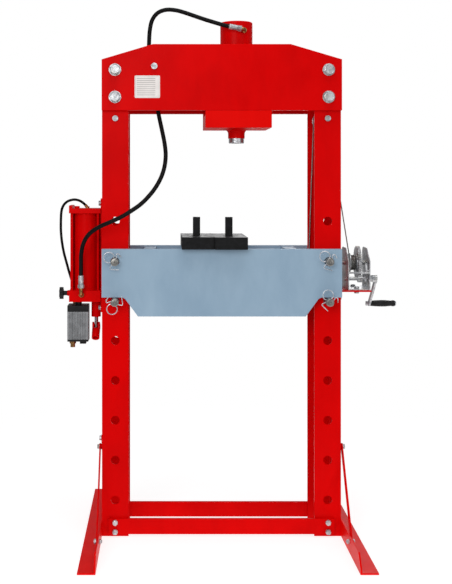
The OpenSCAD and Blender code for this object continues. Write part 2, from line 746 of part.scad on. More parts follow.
module air_motor_body() {
    ribs = 7;
    step = motor_side / (ribs + 1);
    color([0.78, 0.79, 0.80]) translate([0, 0, motor_low]) linear_extrude(motor_high - motor_low)
        difference() {
            motor_square(motor_side);
            for (a = [0:3], k = [1:ribs]) translate([motor_x, 0]) rotate(90 * a)
                translate([-motor_side / 2 + k * step - 1.5, -motor_side / 2 - 1]) square([3, 3.5]);
            translate([motor_x, 0]) circle(r = 31, $fn = 96);
        }
}
module air_motor_caps() {
    color(BLACK) {
        translate([0, 0, motor_high]) linear_extrude(24) motor_square(motor_side);
        translate([0, 0, motor_low - 8]) linear_extrude(8) motor_square(motor_side);
        rod_z(26, motor_x, 0, motor_high + 24, block_z);
        block3([motor_x + 6, -14, motor_low - 20], [motor_x + 30, 14, motor_low - 8]);
    }
}
// inlet under the air motor, the elbow on its back, and the hose tail on the top plate
module air_fittings() {
    inlet_x = motor_x - 22;
    low = motor_low - 8;
    color(BRASS) {
        difference() {
            union() {
                hex_z(22, inlet_x, 0, low - 12, low);
                rod_z(18, inlet_x, 0, low - 26, low - 12);
            }
            rod_z(11.4, inlet_x, 0, low - 27, low - 6);
        }
        union() {
            rod_y(14, elbow[0], motor_side / 2, elbow[1], motor_high + 12);
            rod_z(16, elbow[0], elbow[1], motor_high + 4, elbow_top);
        }
        union() {
            translate(tail) rotate([0, 135, 0]) cylinder(d = 12, h = 10, $fn = 48);
            rod_z(16, tail[0] + 8, tail[1], plate_top, plate_top + 7);
        }
    }
}
module hand_pump_barrel() {
    color(PAINT) difference() {
        union() {
            rod_z(36, hand_x, 0, hand_low, block_z);
            block3([hand_x - 6, 12, fulcrum_z - 14], [hand_x + 6, 38, block_z]);
        }
        rod_z(plunger_d + 2 * run_fit, hand_x, 0, hand_low - 1, block_z - 4);
        // slotted hole, so that the yoke's second pivot can move a little as it swings
        for (y = [fulcrum_y, fulcrum_y + 2.5])
            rod_x(10, hand_x - 7, hand_x + 7, y, fulcrum_z);
        block3([hand_x - 7, fulcrum_y, fulcrum_z - 4.9], [hand_x + 7, fulcrum_y + 2.5, fulcrum_z + 4.9]);
    }
}
module hand_pump_plunger() {
    color([0.85, 0.85, 0.87]) difference() {
        rod_z(plunger_d, hand_x, 0, yoke_z - 9, block_z - 24);
        rod_x(6 + 2 * run_fit, hand_x - 8, hand_x + 8, 0, yoke_z);
    }
}
// clevis on the plunger with the socket for a pumping bar
module handle_yoke() {
    cheek = 7;
    across = plunger_d / 2 + 1.5;
    socket = [hand_x, -14, 764];
    socket_tilt = [138, 0, 0];
    socket_l = 36;
    socket_bore = 22;
    color(PAINT) difference() {
        union() {
            for (x = [hand_x - across - cheek, hand_x + across])
                translate([x, 0, 0]) rotate([90, 0, 90]) linear_extrude(cheek) union() {
                    translate([0, yoke_z]) circle(r = 11, $fn = 48);
                    translate([fulcrum_y, fulcrum_z]) circle(r = 9, $fn = 48);
                    polygon([[-11, yoke_z], [4, yoke_z + 10], [fulcrum_y + 5, fulcrum_z + 7],
                        [fulcrum_y - 6, fulcrum_z - 8], [-4, 752], [-20, 752]]);
                }
            rod_x(6, hand_x - across - cheek, hand_x + across + cheek, 0, yoke_z);
            rod_x(7, hand_x - across - cheek, hand_x + across + cheek, fulcrum_y, fulcrum_z);
            translate(socket) rotate(socket_tilt) cylinder(d = socket_bore + 8, h = socket_l, $fn = 64);
        }
        translate(socket) rotate(socket_tilt) translate([0, 0, 6])
            cylinder(d = socket_bore, h = socket_l, $fn = 64);
    }
}
module pump_hose_fitting() {
    color(ZINC) union() {
        rod_y(18, pump_hose_x, pump_hose_y, -block_half, 906);
        rod_z(18, pump_hose_x, pump_hose_y, 897, 926);
        hex_z(22, pump_hose_x, pump_hose_y, 926, 944);
        rod_z(21, pump_hose_x, pump_hose_y, 944, 980);
    }
}
module hydraulic_hose() {
    color(BLACK) tube(HYDRAULIC, hydraulic_d, 10);
}
module air_hose() {
    color(BLACK) tube(AIR, air_d, 8);
}

// ---------- table ----------
module table_outline() {
    step = half_out - 81;
    low_end = half_out - 136;
    polygon(concat(
        [[-half_out, table_end_z], [-half_out, table_top], [half_out, table_top], [half_out, table_end_z]],
        arc([step + 8, table_end_z - 22], 22, 90, 142, 5),
        [[low_end, table_low], [-low_end, table_low]],
        arc([-step - 8, table_end_z - 22], 22, 38, 90, 5)));
}
module table_plate(y0) {
    color(TABLE_BLUE) difference() {
        translate([0, y0 + table_plate_t, 0]) rotate([90, 0, 0])
            linear_extrude(table_plate_t) table_outline();
        for (x = [-half_mid, half_mid])
            rod_y(hole_d, x, y0 - 1, y0 + table_plate_t + 1, upper_pin_z);
    }
}
module table_front_plate() {
    table_plate(-table_out);
}
module table_rear_plate() {
    table_plate(table_in);
}
module table_spacers() {
    wall = 6;
    half = 23;
    high = table_top - 4;
    low = high - 80;
    color(TABLE_BLUE) for (x = [80 - half_in, half_in - 80]) difference() {
        block3([x - half, -table_in, low], [x + half, table_in, high]);
        block3([x - half + wall, -table_in - 1, low + wall], [x + half - wall, table_in + 1, high - wall]);
    }
}
// a press block with its square post; x is its left face, y its front face
module press_block(x, y) {
    post = 27;
    post_h = 72;
    recess_d = 45;
    recess_h = 6;
    middle = x + 0.47 * block_w;
    top = table_top + gap + block_h;
    color(BLACK) union() {
        difference() {
            block3([x, y, top - block_h], [x + block_w, y + block_d, top]);
            rod_z(recess_d, middle, y + 105, top - recess_h, top + 1);
        }
        block3([middle - post / 2, y + 105 - post / 2, top - recess_h],
            [middle + post / 2, y + 105 + post / 2, top + post_h]);
    }
}
module press_block_left() {
    press_block(-28 - block_w, -160);
}
module press_block_right() {
    press_block(-28 + gap, -172);
}
module pin(x, z, ring_turn) {
    front = -(table_out + 38);
    wire_y = -(table_out + 24);
    ring_r = 20;
    ring_up = 27;
    wire_d = 3.5;
    color(ZINC) union() {
        rod_y(pin_d, x, front + 2, table_out + 18, z);
        translate([x, front, z]) rotate([-90, 0, 0]) cylinder(d1 = pin_d - 4, d2 = pin_d, h = 2, $fn = 64);
        // spring clip: a straight leg through the pin and a round loop beside it
        translate([x, wire_y, z]) rotate([90, ring_turn, 0]) {
            translate([-30, 0, 0]) rotate([0, 90, 0]) cylinder(d = wire_d, h = 60, $fn = 24);
            translate([0, ring_up, 0]) rotate_extrude($fn = 64)
                translate([ring_r, 0]) circle(d = wire_d, $fn = 16);
        }
    }
}
module pin_upper_left() {
    pin(-half_mid, upper_pin_z, -53);
}
module pin_upper_right() {
    pin(half_mid, upper_pin_z, -42);
}
module pin_lower_left() {
    pin(-half_mid, lower_pin_z, -158);
}
module pin_lower_right() {
    pin(half_mid, lower_pin_z, -13);
}

// ---------- cylinder ----------
module saddle() {
    left = carriage_x - saddle_l / 2;
    right = carriage_x + saddle_l / 2;
    shoe_half = saddle_l / 2 - 25;
    shoe_h = 30;
    color(PAINT) difference() {
        union() {
            block3([left, -crown_out, saddle_low], [right, crown_out, saddle_top]);
            for (s = [-1, 1]) {
                // rails under the crown plates
                block3([left, min(s * half_depth, s * crown_out), saddle_top],
                    [right, max(s * half_depth, s * crown_out), crown_height - gap]);
                // cheeks between the plates, and the shoes that hang on the ledges
                block3([carriage_x - shoe_half, min(s * cheek_in, s * (cheek_in + 10)), saddle_top],
                    [carriage_x + shoe_half, max(s * cheek_in, s * (cheek_in + 10)), shoe_z + shoe_h]);
                block3([carriage_x - shoe_half, min(s * cheek_in, s * (half_depth - gap)), shoe_z + gap],
                    [carriage_x + shoe_half, max(s * cheek_in, s * (half_depth - gap)), shoe_z + shoe_h]);
            }
        }
        rod_z(cylinder_d + bolt_play, carriage_x, 0, saddle_low - 1, shoe_z + shoe_h + 1);
    }
}
module cylinder_barrel() {
    bore_r = cylinder_bore / 2;
    outer_r = cylinder_d / 2;
    neck_r = ram_d / 2 + 2.5;
    rod_r = ram_d / 2 + run_fit;
    color(PAINT) difference() {
        translate([carriage_x, 0, 0]) rotate_extrude($fn = 128) polygon(concat(
            [[rod_r, neck_low], [neck_r, neck_low], [neck_r, cyl_low - 12]],
            arc([neck_r + 18, cyl_low - 12], 18, 180, 110, 5),
            [[outer_r, cyl_low + 7], [outer_r, cyl_top - 3], [outer_r - 3, cyl_top], [0, cyl_top],
                [0, bore_top], [bore_r, bore_top], [bore_r, gland_top], [rod_r, gland_top]]));
        rod_y(port_d, port_x, -outer_r - 1, 0, port_z);
    }
}
module cylinder_hose_fitting() {
    elbow_d = 20;
    // the elbow stands just clear of the barrel's curve at its outer edge
    edge = port_x - carriage_x - elbow_d / 2;
    stand = sqrt(cylinder_d * cylinder_d / 4 - edge * edge) + gap;
    face = sqrt(cylinder_d * cylinder_d / 4 - pow(port_x - carriage_x, 2));
    crimp = [port_x - 57.8, port_y, port_z + 12];
    tilt = 90 + atan2(4, 20);
    color(ZINC) union() {
        rod_y(port_d - bolt_play, port_x, port_y, -face + 8, port_z);
        rod_y(elbow_d, port_x, port_y - 10, -stand, port_z);
        translate(crimp) rotate([0, tilt, 0]) {
            cylinder(d = 21, h = 34, $fn = 64);
            translate([0, 0, 34]) cylinder(d = 22 / cos(30), h = 14, $fn = 6);
            translate([0, 0, 48]) cylinder(d = 15, h = 12, $fn = 48);
        }
    }
}
module ram() {
    bore_r = cylinder_bore / 2 - run_fit;
    seat_r = cylinder_bore / 2 - seal_deep;
    color([0.75, 0.75, 0.76]) translate([carriage_x, 0, 0]) rotate_extrude($fn = 128) polygon([
        [0, ram_tip], [ram_d / 2 - 2, ram_tip], [ram_d / 2, ram_tip + 2], [ram_d / 2, piston_low],
        [bore_r, piston_low], [bore_r, seal_z], [seat_r, seal_z], [seat_r, seal_z + seal_h],
        [bore_r, seal_z + seal_h], [bore_r, piston_low + piston_h], [0, piston_low + piston_h]]);
}
module piston_seal() {
    color(BLACK) translate([carriage_x, 0, 0]) rotate_extrude($fn = 128)
        translate([cylinder_bore / 2 - seal_deep, seal_z]) square([seal_deep - run_fit, seal_h]);
}
module return_spring() {
    turns = 10;
    steps = 16;
    wire = 7;
    r = (ram_d + cylinder_bore) / 4;
    low = gland_top + wire / 2 + gap;
    high = piston_low - wire / 2 - gap;
    path = [for (i = [0:turns * steps]) let (a = 360 * i / steps)
        [carriage_x + r * cos(a), r * sin(a), low + (high - low) * i / (turns * steps)]];
    color(ZINC) tube(path, wire, 8, [0, 0, 1]);
}

column_left();
column_right();
crown_front_plate();
crown_rear_plate();
crown_bolts();
lower_beams();
foot_left();
foot_right();
foot_struts();
base_bolts();
through_bolts();
top_sheave();
table_sheave_left();
table_sheave_right();
table_sheave_axles();
rope_drop_left();
rope_drop_right();
rope_table_run();
rope_winch_run();
winch_shelf();
winch_frame();
bracket_bolts();
winch_drum();
winch_gear();
winch_rope_coil();
winch_pinion_shaft();
winch_crank();
crank_grip();
winch_pawl();
pump_bracket();
pump_top_plate();
reservoir();
reservoir_stays();
filler_cap();
valve_block();
release_knob();
air_motor_body();
air_motor_caps();
air_fittings();
hand_pump_barrel();
hand_pump_plunger();
handle_yoke();
pump_hose_fitting();
hydraulic_hose();
air_hose();
table_front_plate();
table_rear_plate();
table_spacers();
press_block_left();
press_block_right();
saddle();
cylinder_barrel();
cylinder_hose_fitting();
ram();
piston_seal();
return_spring();
pin_upper_left();
pin_upper_right();
pin_lower_left();
pin_lower_right();
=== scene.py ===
"""Hydraulic shop press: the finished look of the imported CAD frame.

Everything is in metres in the frame of the CAD: +Z up, floor at Z = 0, -Y is the front.
"""

import json
from math import atan2, cos, pi, radians, sin, sqrt, tau

import bmesh
import bpy
import numpy as np
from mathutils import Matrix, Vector

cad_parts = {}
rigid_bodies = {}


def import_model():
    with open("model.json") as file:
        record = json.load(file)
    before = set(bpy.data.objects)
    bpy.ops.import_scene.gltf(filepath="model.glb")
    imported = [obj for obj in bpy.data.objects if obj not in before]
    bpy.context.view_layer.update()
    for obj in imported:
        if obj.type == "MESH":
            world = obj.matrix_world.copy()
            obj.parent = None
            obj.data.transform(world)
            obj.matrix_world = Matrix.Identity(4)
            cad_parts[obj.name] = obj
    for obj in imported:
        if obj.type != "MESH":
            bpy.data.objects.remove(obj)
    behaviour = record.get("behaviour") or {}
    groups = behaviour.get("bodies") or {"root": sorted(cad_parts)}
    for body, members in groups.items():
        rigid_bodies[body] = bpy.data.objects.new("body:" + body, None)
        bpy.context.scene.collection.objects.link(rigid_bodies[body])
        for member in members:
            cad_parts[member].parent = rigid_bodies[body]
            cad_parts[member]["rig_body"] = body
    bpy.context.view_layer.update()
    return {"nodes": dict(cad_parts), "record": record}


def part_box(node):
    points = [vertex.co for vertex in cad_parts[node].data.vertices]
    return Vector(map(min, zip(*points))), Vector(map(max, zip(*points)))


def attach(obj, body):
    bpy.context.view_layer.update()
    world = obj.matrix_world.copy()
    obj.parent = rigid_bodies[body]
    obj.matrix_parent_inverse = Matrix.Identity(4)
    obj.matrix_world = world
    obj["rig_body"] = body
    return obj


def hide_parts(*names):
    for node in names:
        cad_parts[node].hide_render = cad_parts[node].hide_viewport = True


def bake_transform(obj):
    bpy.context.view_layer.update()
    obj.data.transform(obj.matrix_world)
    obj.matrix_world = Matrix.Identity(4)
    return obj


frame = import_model()
SCENE = bpy.context.scene
MM = 0.001


# ---------------------------------------------------------------- node trees in plain Python


class Value:
    """One socket of a node tree. Arithmetic on it adds Math nodes to its tree."""

    def __init__(self, tree, socket):
        self.tree, self.socket = tree, socket

    def math(self, operation, *others):
        """A Math node on this value and the others."""
        return self.tree.math(operation, self, *others)

    def __add__(self, other):
        return self.math("ADD", other)

    def __sub__(self, other):
        return self.math("SUBTRACT", other)

    def __mul__(self, other):
        return self.math("MULTIPLY", other)

    def __truediv__(self, other):
        return self.math("DIVIDE", other)

    def __radd__(self, other):
        return self.tree.math("ADD", other, self)

    def __rsub__(self, other):
        return self.tree.math("SUBTRACT", other, self)

    def __rmul__(self, other):
        return self.tree.math("MULTIPLY", other, self)

    def __abs__(self):
        return self.math("ABSOLUTE")


class Tree:
    """A node tree that is written one call per node."""

    def __init__(self, tree):
        self.tree = tree

    def node(self, kind, settings=None, inputs=None, out=0):
        """Add a node, set it up, fill or link its sockets, and return one of its outputs."""
        node = self.tree.nodes.new(kind)
        for name, setting in (settings or {}).items():
            setattr(node, name, setting)
        for key, value in (inputs or {}).items():
            if isinstance(value, (Value, list)):
                for one in value if isinstance(value, list) else [value]:
                    self.tree.links.new(one.socket, node.inputs[key])
            else:
                node.inputs[key].default_value = value
        return Value(self, node.outputs[out]) if len(node.outputs) else node

    def math(self, operation, *values):
        """A Math node on the values, which may be sockets or numbers."""
        return self.node("ShaderNodeMath", {"operation": operation}, dict(enumerate(values)))


def linear(red, green, blue):
    """A colour given as it looks, in 0 to 255, as the linear value that a shader takes."""
    shares = [c / 255 for c in (red, green, blue)]
    return (*[c / 12.92 if c <= 0.04045 else ((c + 0.055) / 1.055) ** 2.4 for c in shares], 1.0)


class Finish(Tree):
    """A procedural material."""

    def __init__(self, name):
        self.material = bpy.data.materials.new(name)
        self.material.use_nodes = True
        self.material.node_tree.nodes.clear()
        super().__init__(self.material.node_tree)
        self.at = self.node("ShaderNodeTexCoord", out="Object")

    def uv(self):
        return self.node("ShaderNodeTexCoord", out="UV")

    def axis(self, name, at=None):
        return self.node("ShaderNodeSeparateXYZ", None, {"Vector": at or self.at}, name)

    def stretched(self, scale, at=None):
        return self.node("ShaderNodeMapping", None, {"Vector": at or self.at, "Scale": scale})

    def noise(self, scale, detail=2.0, roughness=0.5, distortion=0.0, at=None):
        inputs = {"Vector": at or self.at, "Scale": scale, "Detail": detail}
        inputs.update({"Roughness": roughness, "Distortion": distortion})
        return self.node("ShaderNodeTexNoise", None, inputs)

    def cells(self, scale, feature="F1", at=None):
        inputs = {"Vector": at or self.at, "Scale": scale}
        return self.node("ShaderNodeTexVoronoi", {"feature": feature}, inputs)

    def step(self, value, low, high, to_low=0.0, to_high=1.0):
        """A soft step of value from low to high."""
        inputs = {"Value": value, "From Min": low, "From Max": high}
        inputs.update({"To Min": to_low, "To Max": to_high})
        return self.node("ShaderNodeMapRange", {"interpolation_type": "SMOOTHSTEP"}, inputs)

    def mix(self, share, first, second, how="MIX"):
        settings = {"data_type": "RGBA", "blend_type": how}
        return self.node("ShaderNodeMix", settings, {0: share, 6: first, 7: second}, 2)

    def bump(self, height, depth, under=None):
        inputs = {"Height": height, "Distance": depth, "Strength": 1.0}
        if under:
            inputs["Normal"] = under
        return self.node("ShaderNodeBump", None, inputs)

    def surface(self, **sockets):
        """The shader; each name is a socket's, with _ for a space."""
        inputs = {name.replace("_", " "): value for name, value in sockets.items()}
        inputs = {name.replace("Ior", "IOR"): value for name, value in inputs.items()}
        shader = self.node("ShaderNodeBsdfPrincipled", None, inputs)
        self.node("ShaderNodeOutputMaterial", None, {"Surface": shader})
        return self.material


# ---------------------------------------------------------------- finishes


def enamel(name, colour, shade, gloss=0.34):
    """Sprayed gloss paint: slow changes of tone, faint streaks down the steel and orange peel."""
    f = Finish(name)
    broad = f.noise(1.9, 3.0, 0.55, 0.4)
    drift = f.noise(11.0, 4.0, 0.6, 0.2, f.stretched((1.0, 1.0, 0.45)))
    tone = f.step(broad * 0.6 + drift * 0.4, 0.36, 0.66)
    base = f.mix(tone, shade, colour)
    nibs = f.step(f.cells(38.0), 0.015, 0.04, 1.0, 0.0)
    base = f.mix(nibs * 0.2, base, shade)
    smears = f.noise(6.0, 3.0, 0.55, 0.3)
    roughness = f.step(smears, 0.25, 0.8, gloss - 0.03, gloss + 0.08)
    peel = f.noise(420.0, 1.5, 0.5)
    waves = f.noise(26.0, 2.0, 0.5)
    normal = f.bump(peel, 0.00006, f.bump(waves, 0.00025))
    return f.surface(Base_Color=base, Roughness=roughness, Normal=normal,
                     Specular_IOR_Level=0.04)


def plated(name, light, dark, tint, roughness=0.34):
    """Zinc plate: cloudy bright metal with a thin bluish and straw passivation."""
    f = Finish(name)
    cloud = f.step(f.noise(46.0, 4.0, 0.62, 0.3), 0.34, 0.68)
    base = f.mix(cloud, dark, light)
    hue = f.step(f.noise(21.0, 2.0, 0.5, 0.8), 0.52, 0.7)
    base = f.mix(hue * 0.35, base, tint)
    grain = f.noise(900.0, 2.0, 0.6)
    rough = f.step(f.noise(130.0, 3.0, 0.6), 0.3, 0.7, roughness - 0.08, roughness + 0.12)
    return f.surface(Base_Color=base, Metallic=0.68, Roughness=rough,
                     Normal=f.bump(grain, 0.00006))


def turned(name, light, dark, axis, roughness, pitch=0.0011, depth=0.00003):
    """Turned or ground steel: fine lines round the named axis, with soft wipe marks."""
    f = Finish(name)
    place = f.axis(axis)
    wander = f.noise(60.0, 2.0)
    lines = (place * (tau / pitch) + wander * 3.0).math("SINE")
    scale = {"X": (900.0, 8.0, 8.0), "Y": (8.0, 900.0, 8.0), "Z": (8.0, 8.0, 900.0)}[axis]
    streak = f.noise(1.0, 3.0, 0.65, 0.0, f.stretched(scale))
    base = f.mix(f.step(streak, 0.35, 0.7), dark, light)
    rough = f.step(f.noise(30.0, 3.0, 0.6), 0.3, 0.72, roughness - 0.05, roughness + 0.1)
    return f.surface(Base_Color=base, Metallic=0.95, Roughness=rough, Normal=f.bump(lines, depth))


def black_steel(name):
    """Blackened flat bar: dull scale on the sides, and lighter in patches on the faces that point up."""
    f = Finish(name)
    up = f.axis("Z", f.node("ShaderNodeNewGeometry", out="Normal"))
    mill = f.noise(70.0, 5.0, 0.68, 0.5)
    base = f.mix(f.step(mill, 0.35, 0.7), linear(9, 9, 10), linear(24, 24, 27))
    # Faces that point up are made lighter in patches, chosen by their facing alone.
    lighter_upward = f.step(up, 0.6, 0.95) * f.step(f.noise(26.0, 4.0, 0.6), 0.25, 0.6, 0.55, 1.0)
    base = f.mix(lighter_upward * 0.6, base, linear(66, 67, 71))
    rough = f.step(f.noise(48.0, 4.0, 0.6), 0.3, 0.7, 0.36, 0.6)
    height = mill + f.noise(600.0, 2.0, 0.6) * 0.4
    return f.surface(Base_Color=base, Metallic=0.25, Roughness=rough, Specular_IOR_Level=0.25,
                     Normal=f.bump(height, 0.00018))


def moulded(name, colour, sheen, grain=520.0):
    """Moulded black plastic with a fine spark-eroded grain."""
    f = Finish(name)
    patch = f.step(f.noise(40.0, 3.0, 0.6), 0.35, 0.7)
    base = f.mix(patch, colour, sheen)
    pits = f.noise(grain, 3.0, 0.7)
    rough = f.step(f.noise(90.0, 3.0), 0.3, 0.7, 0.38, 0.55)
    return f.surface(Base_Color=base, Roughness=rough, Specular_IOR_Level=0.3,
                     Normal=f.bump(pits, 0.00012))


def extruded(name):
    """Anodised extrusion: long die lines along Z under a satin skin."""
    f = Finish(name)
    die = f.noise(1.0, 3.0, 0.7, 0.0, f.stretched((700.0, 700.0, 3.0)))
    base = f.mix(f.step(die, 0.3, 0.72), linear(128, 130, 132), linear(176, 178, 181))
    stain = f.step(f.noise(24.0, 3.0, 0.6), 0.56, 0.74)
    base = f.mix(stain * 0.3, base, linear(112, 114, 118))
    rough = f.step(f.noise(60.0, 3.0), 0.3, 0.7, 0.28, 0.42)
    return f.surface(Base_Color=base, Metallic=0.85, Roughness=rough, Normal=f.bump(die, 0.00008))


def brass(name):
    """Turned brass, a little dulled where it has been handled."""
    f = Finish(name)
    dull = f.step(f.noise(80.0, 4.0, 0.65, 0.4), 0.4, 0.7)
    base = f.mix(dull, linear(176, 132, 82), linear(112, 78, 48))
    rings = f.axis("Z") * (tau / 0.0009)
    rough = f.step(dull, 0.0, 1.0, 0.22, 0.4)
    return f.surface(Base_Color=base, Metallic=1.0, Roughness=rough,
                     Normal=f.bump(rings.math("SINE"), 0.00003))


def hose_rubber(name, diameter, length):
    """Hose cover: black rubber with the print of the wrapping cloth it was cured in."""
    f = Finish(name)
    uv = f.uv()
    round_it, down_it = f.axis("X", uv), f.axis("Y", uv)
    turns, ribs = 24.0, length / 0.0022
    one = (round_it * (tau * turns)) + (down_it * (tau * ribs))
    two = (round_it * (tau * turns)) - (down_it * (tau * ribs))
    weave = one.math("SINE") * two.math("SINE")
    dusty = f.step(f.noise(38.0, 4.0, 0.62), 0.4, 0.72)
    base = f.mix(dusty, linear(3, 3, 4), linear(10, 10, 11))
    scuff = f.step(f.noise(7.0, 5.0, 0.7), 0.58, 0.72)
    base = f.mix(scuff * 0.3, base, linear(26, 26, 28))
    rough = f.step(f.noise(52.0, 3.0), 0.3, 0.7, 0.36, 0.56)
    return f.surface(Base_Color=base, Roughness=rough, Specular_IOR_Level=0.16,
                     Normal=f.bump(weave, diameter * 0.008))


def strand_wire(name):
    """Galvanised wire rope: bright crowns, dark grease between the strands."""
    f = Finish(name)
    lay = f.axis("X", f.uv()) * 6.0
    between = f.step(abs(lay.math("FRACT") - 0.5), 0.30, 0.5)
    base = f.mix(between, linear(176, 176, 172), linear(62, 60, 56))
    cloud = f.step(f.noise(240.0, 3.0, 0.6), 0.4, 0.7)
    base = f.mix(cloud * 0.5, base, linear(120, 118, 112))
    wires = f.noise(2600.0, 1.0)
    rough = f.step(cloud, 0.0, 1.0, 0.34, 0.52)
    return f.surface(Base_Color=base, Metallic=0.85, Roughness=rough, Normal=f.bump(wires, 0.00008))


def plate_print(name):
    """Blank rating plate: satin white with plain grey rules and a thin border, no lettering."""
    f = Finish(name)
    uv = f.uv()
    across, up = f.axis("X", uv), f.axis("Y", uv)
    rows = (up * 11.0).math("FRACT")
    rule = f.step(abs(rows - 0.5), 0.07, 0.12, 1.0, 0.0)
    inside = f.step(abs(across - 0.45), 0.36, 0.37, 1.0, 0.0)
    inside = inside * f.step(abs(up - 0.5), 0.38, 0.39, 1.0, 0.0)
    edge = abs(across - 0.5).math("MAXIMUM", abs(up - 0.5))
    border = f.step(edge, 0.455, 0.46) * f.step(edge, 0.47, 0.475, 1.0, 0.0)
    ink = (rule * inside * 0.75).math("MAXIMUM", border * 0.3)
    worn = f.step(f.noise(30.0, 3.0), 0.35, 0.7)
    paper = f.mix(worn, linear(240, 233, 229), linear(250, 244, 240))
    base = f.mix(ink, paper, linear(62, 58, 64))
    rough = f.step(f.noise(90.0, 2.0), 0.3, 0.7, 0.36, 0.48)
    return f.surface(Base_Color=base, Roughness=rough)


def studio(name, colour):
    """Plain pale studio floor: a round sweep that fades into the white around it."""
    f = Finish(name)
    across, along = f.axis("X"), f.axis("Y")
    far = (across * across + along * along).math("SQRT")
    return f.surface(Base_Color=colour, Roughness=0.9, Specular_IOR_Level=0.1,
                     Emission_Color=(1.0, 1.0, 1.0, 1.0), Emission_Strength=0.80,
                     Alpha=f.step(far, 0.9, 2.4, 1.0, 0.0))


RED = enamel("red enamel", linear(228, 1, 2), linear(210, 0, 1))
# A lighter copy of the red enamel for the feet and the saddle: a painted highlight where these parts catch
# more light. They are the same paint as the rest of the frame.
LIT_RED = enamel("red enamel lit copy", linear(240, 9, 4), linear(228, 4, 2))
BLUE_GREY = enamel("blue grey enamel", linear(160, 185, 205), linear(145, 171, 193), 0.42)
ZINC = plated("zinc plate", linear(216, 218, 220), linear(150, 153, 158), linear(200, 194, 172))
SPRING = plated("clip wire", linear(236, 238, 242), linear(176, 182, 190), linear(210, 218, 226), 0.26)
PIN_STEEL = turned("pin steel", linear(168, 166, 160), linear(112, 112, 112), "Y", 0.36)
RAM_STEEL = turned("ground ram", linear(210, 211, 214), linear(168, 170, 174), "Z", 0.20)
BLACK_STEEL = black_steel("blackened steel")
BLACK_PLASTIC = moulded("black plastic", linear(10, 10, 11), linear(24, 24, 26))
ALUMINIUM = extruded("motor aluminium")
BRASS = brass("turned brass")
WIRE_ROPE = strand_wire("wire rope")
LABEL = plate_print("blank rating plate")
SEAL = moulded("seal rubber", linear(16, 16, 17), linear(28, 28, 30), 260.0)
FLOOR = studio("studio floor", linear(160, 160, 160))


# ---------------------------------------------------------------- mesh building


def piece(name, verts, faces, finish, slot, body, uvs=None, sharp=35.0):
    """A mesh object at the origin that rides on a body."""
    mesh = bpy.data.meshes.new(name)
    mesh.from_pydata([tuple(v) for v in verts], [], faces)
    mesh.validate()
    if uvs is not None:
        layer = mesh.uv_layers.new(name="surface")
        for loop in mesh.loops:
            layer.data[loop.index].uv = uvs[loop.vertex_index]
    return placed(name, mesh, finish, slot, body, sharp)


def placed(name, mesh, finish, slot, body, sharp=35.0):
    """Put a mesh in the scene with its finish and body; slot is not used."""
    mesh.shade_smooth()
    mesh.set_sharp_from_angle(angle=radians(sharp))
    if finish:
        mesh.materials.clear()
        mesh.materials.append(finish)
    made = bpy.data.objects.new(name, mesh)
    SCENE.collection.objects.link(made)
    if body:
        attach(made, body)
    return made


def body_of(node):
    """The body that a CAD node rides on."""
    return frame["nodes"][node]["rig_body"]


def slot_of(node):
    """The material slot in a CAD node's record."""
    rows = frame["record"]["subparts"]
    return next(row["material_slot"] for row in rows if row["node"] == node)


def cad_copy(node):
    """A node's mesh with its loose triangles joined and its flat faces made whole."""
    bm = bmesh.new()
    bm.from_mesh(frame["nodes"][node].data)
    bmesh.ops.remove_doubles(bm, verts=bm.verts, dist=2e-6)
    bmesh.ops.dissolve_limit(bm, angle_limit=radians(0.4), verts=bm.verts, edges=bm.edges)
    return bm


def solids(node):
    """The lowest and highest corners of each separate solid of a node."""
    bm = cad_copy(node)
    seen, found = set(), []
    for vert in bm.verts:
        if vert in seen:
            continue
        todo, island = [vert], []
        seen.add(vert)
        while todo:
            here = todo.pop()
            island.append(here.co.copy())
            for edge in here.link_edges:
                other = edge.other_vert(here)
                if other not in seen:
                    seen.add(other)
                    todo.append(other)
        low = Vector(min(co[k] for co in island) for k in range(3))
        high = Vector(max(co[k] for co in island) for k in range(3))
        found.append((low, high))
    bm.free()
    return found


def softened(node, width, finish, segments=2, angle=38.0):
    """A CAD node again, with every sharp edge rounded as a press or a file leaves it."""
    bm = cad_copy(node)
    mesh = bpy.data.meshes.new(node + "_finished")
    bm.to_mesh(mesh)
    bm.free()
    mesh.shade_smooth()
    rough = bpy.data.objects.new(node + "_rough", mesh)
    SCENE.collection.objects.link(rough)
    edge = rough.modifiers.new("edge", "BEVEL")
    edge.width = width
    edge.segments = segments
    edge.limit_method = "ANGLE"
    edge.angle_limit = radians(angle)
    edge.use_clamp_overlap = True
    flats = rough.modifiers.new("flats", "WEIGHTED_NORMAL")
    flats.weight = 100
    flats.keep_sharp = True
    depsgraph = bpy.context.evaluated_depsgraph_get()
    final = bpy.data.meshes.new_from_object(rough.evaluated_get(depsgraph))
    bpy.data.objects.remove(rough)
    final.name = node + "_finished"
    final.materials.clear()
    final.materials.append(finish)
    made = bpy.data.objects.new(node + "_finished", final)
    SCENE.collection.objects.link(made)
    slot_of(node)
    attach(made, body_of(node))
    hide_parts(node)
    return made


def lathe_rings(profile, centre, axis, segments):
    """Vertices and faces of a turned shape; profile is (radius, distance along axis)."""
    axis = Vector(axis).normalized()
    side = axis.orthogonal().normalized()
    other = axis.cross(side)
    centre = Vector(centre)
    verts, faces, rings = [], [], []
    for radius, reach in profile:
        middle = centre + axis * reach
        if radius < 1e-7:
            rings.append([len(verts)])
            verts.append(middle)
            continue
        rings.append(list(range(len(verts), len(verts) + segments)))
        for k in range(segments):
            turn = tau * k / segments
            verts.append(middle + radius * (cos(turn) * side + sin(turn) * other))
    for low, high in zip(rings, rings[1:]):
        for k in range(segments):
            nxt = (k + 1) % segments
            corners = [low[k % len(low)], low[nxt % len(low)], high[nxt % len(high)], high[k % len(high)]]
            kept = list(dict.fromkeys(corners))
            if len(kept) > 2:
                faces.append(kept)
    return verts, faces


def joined(parts):
    """Several (verts, faces) as one."""
    verts, faces = [], []
    for more_verts, more_faces in parts:
        start = len(verts)
        verts += list(more_verts)
        faces += [[start + i for i in face] for face in more_faces]
    return verts, faces


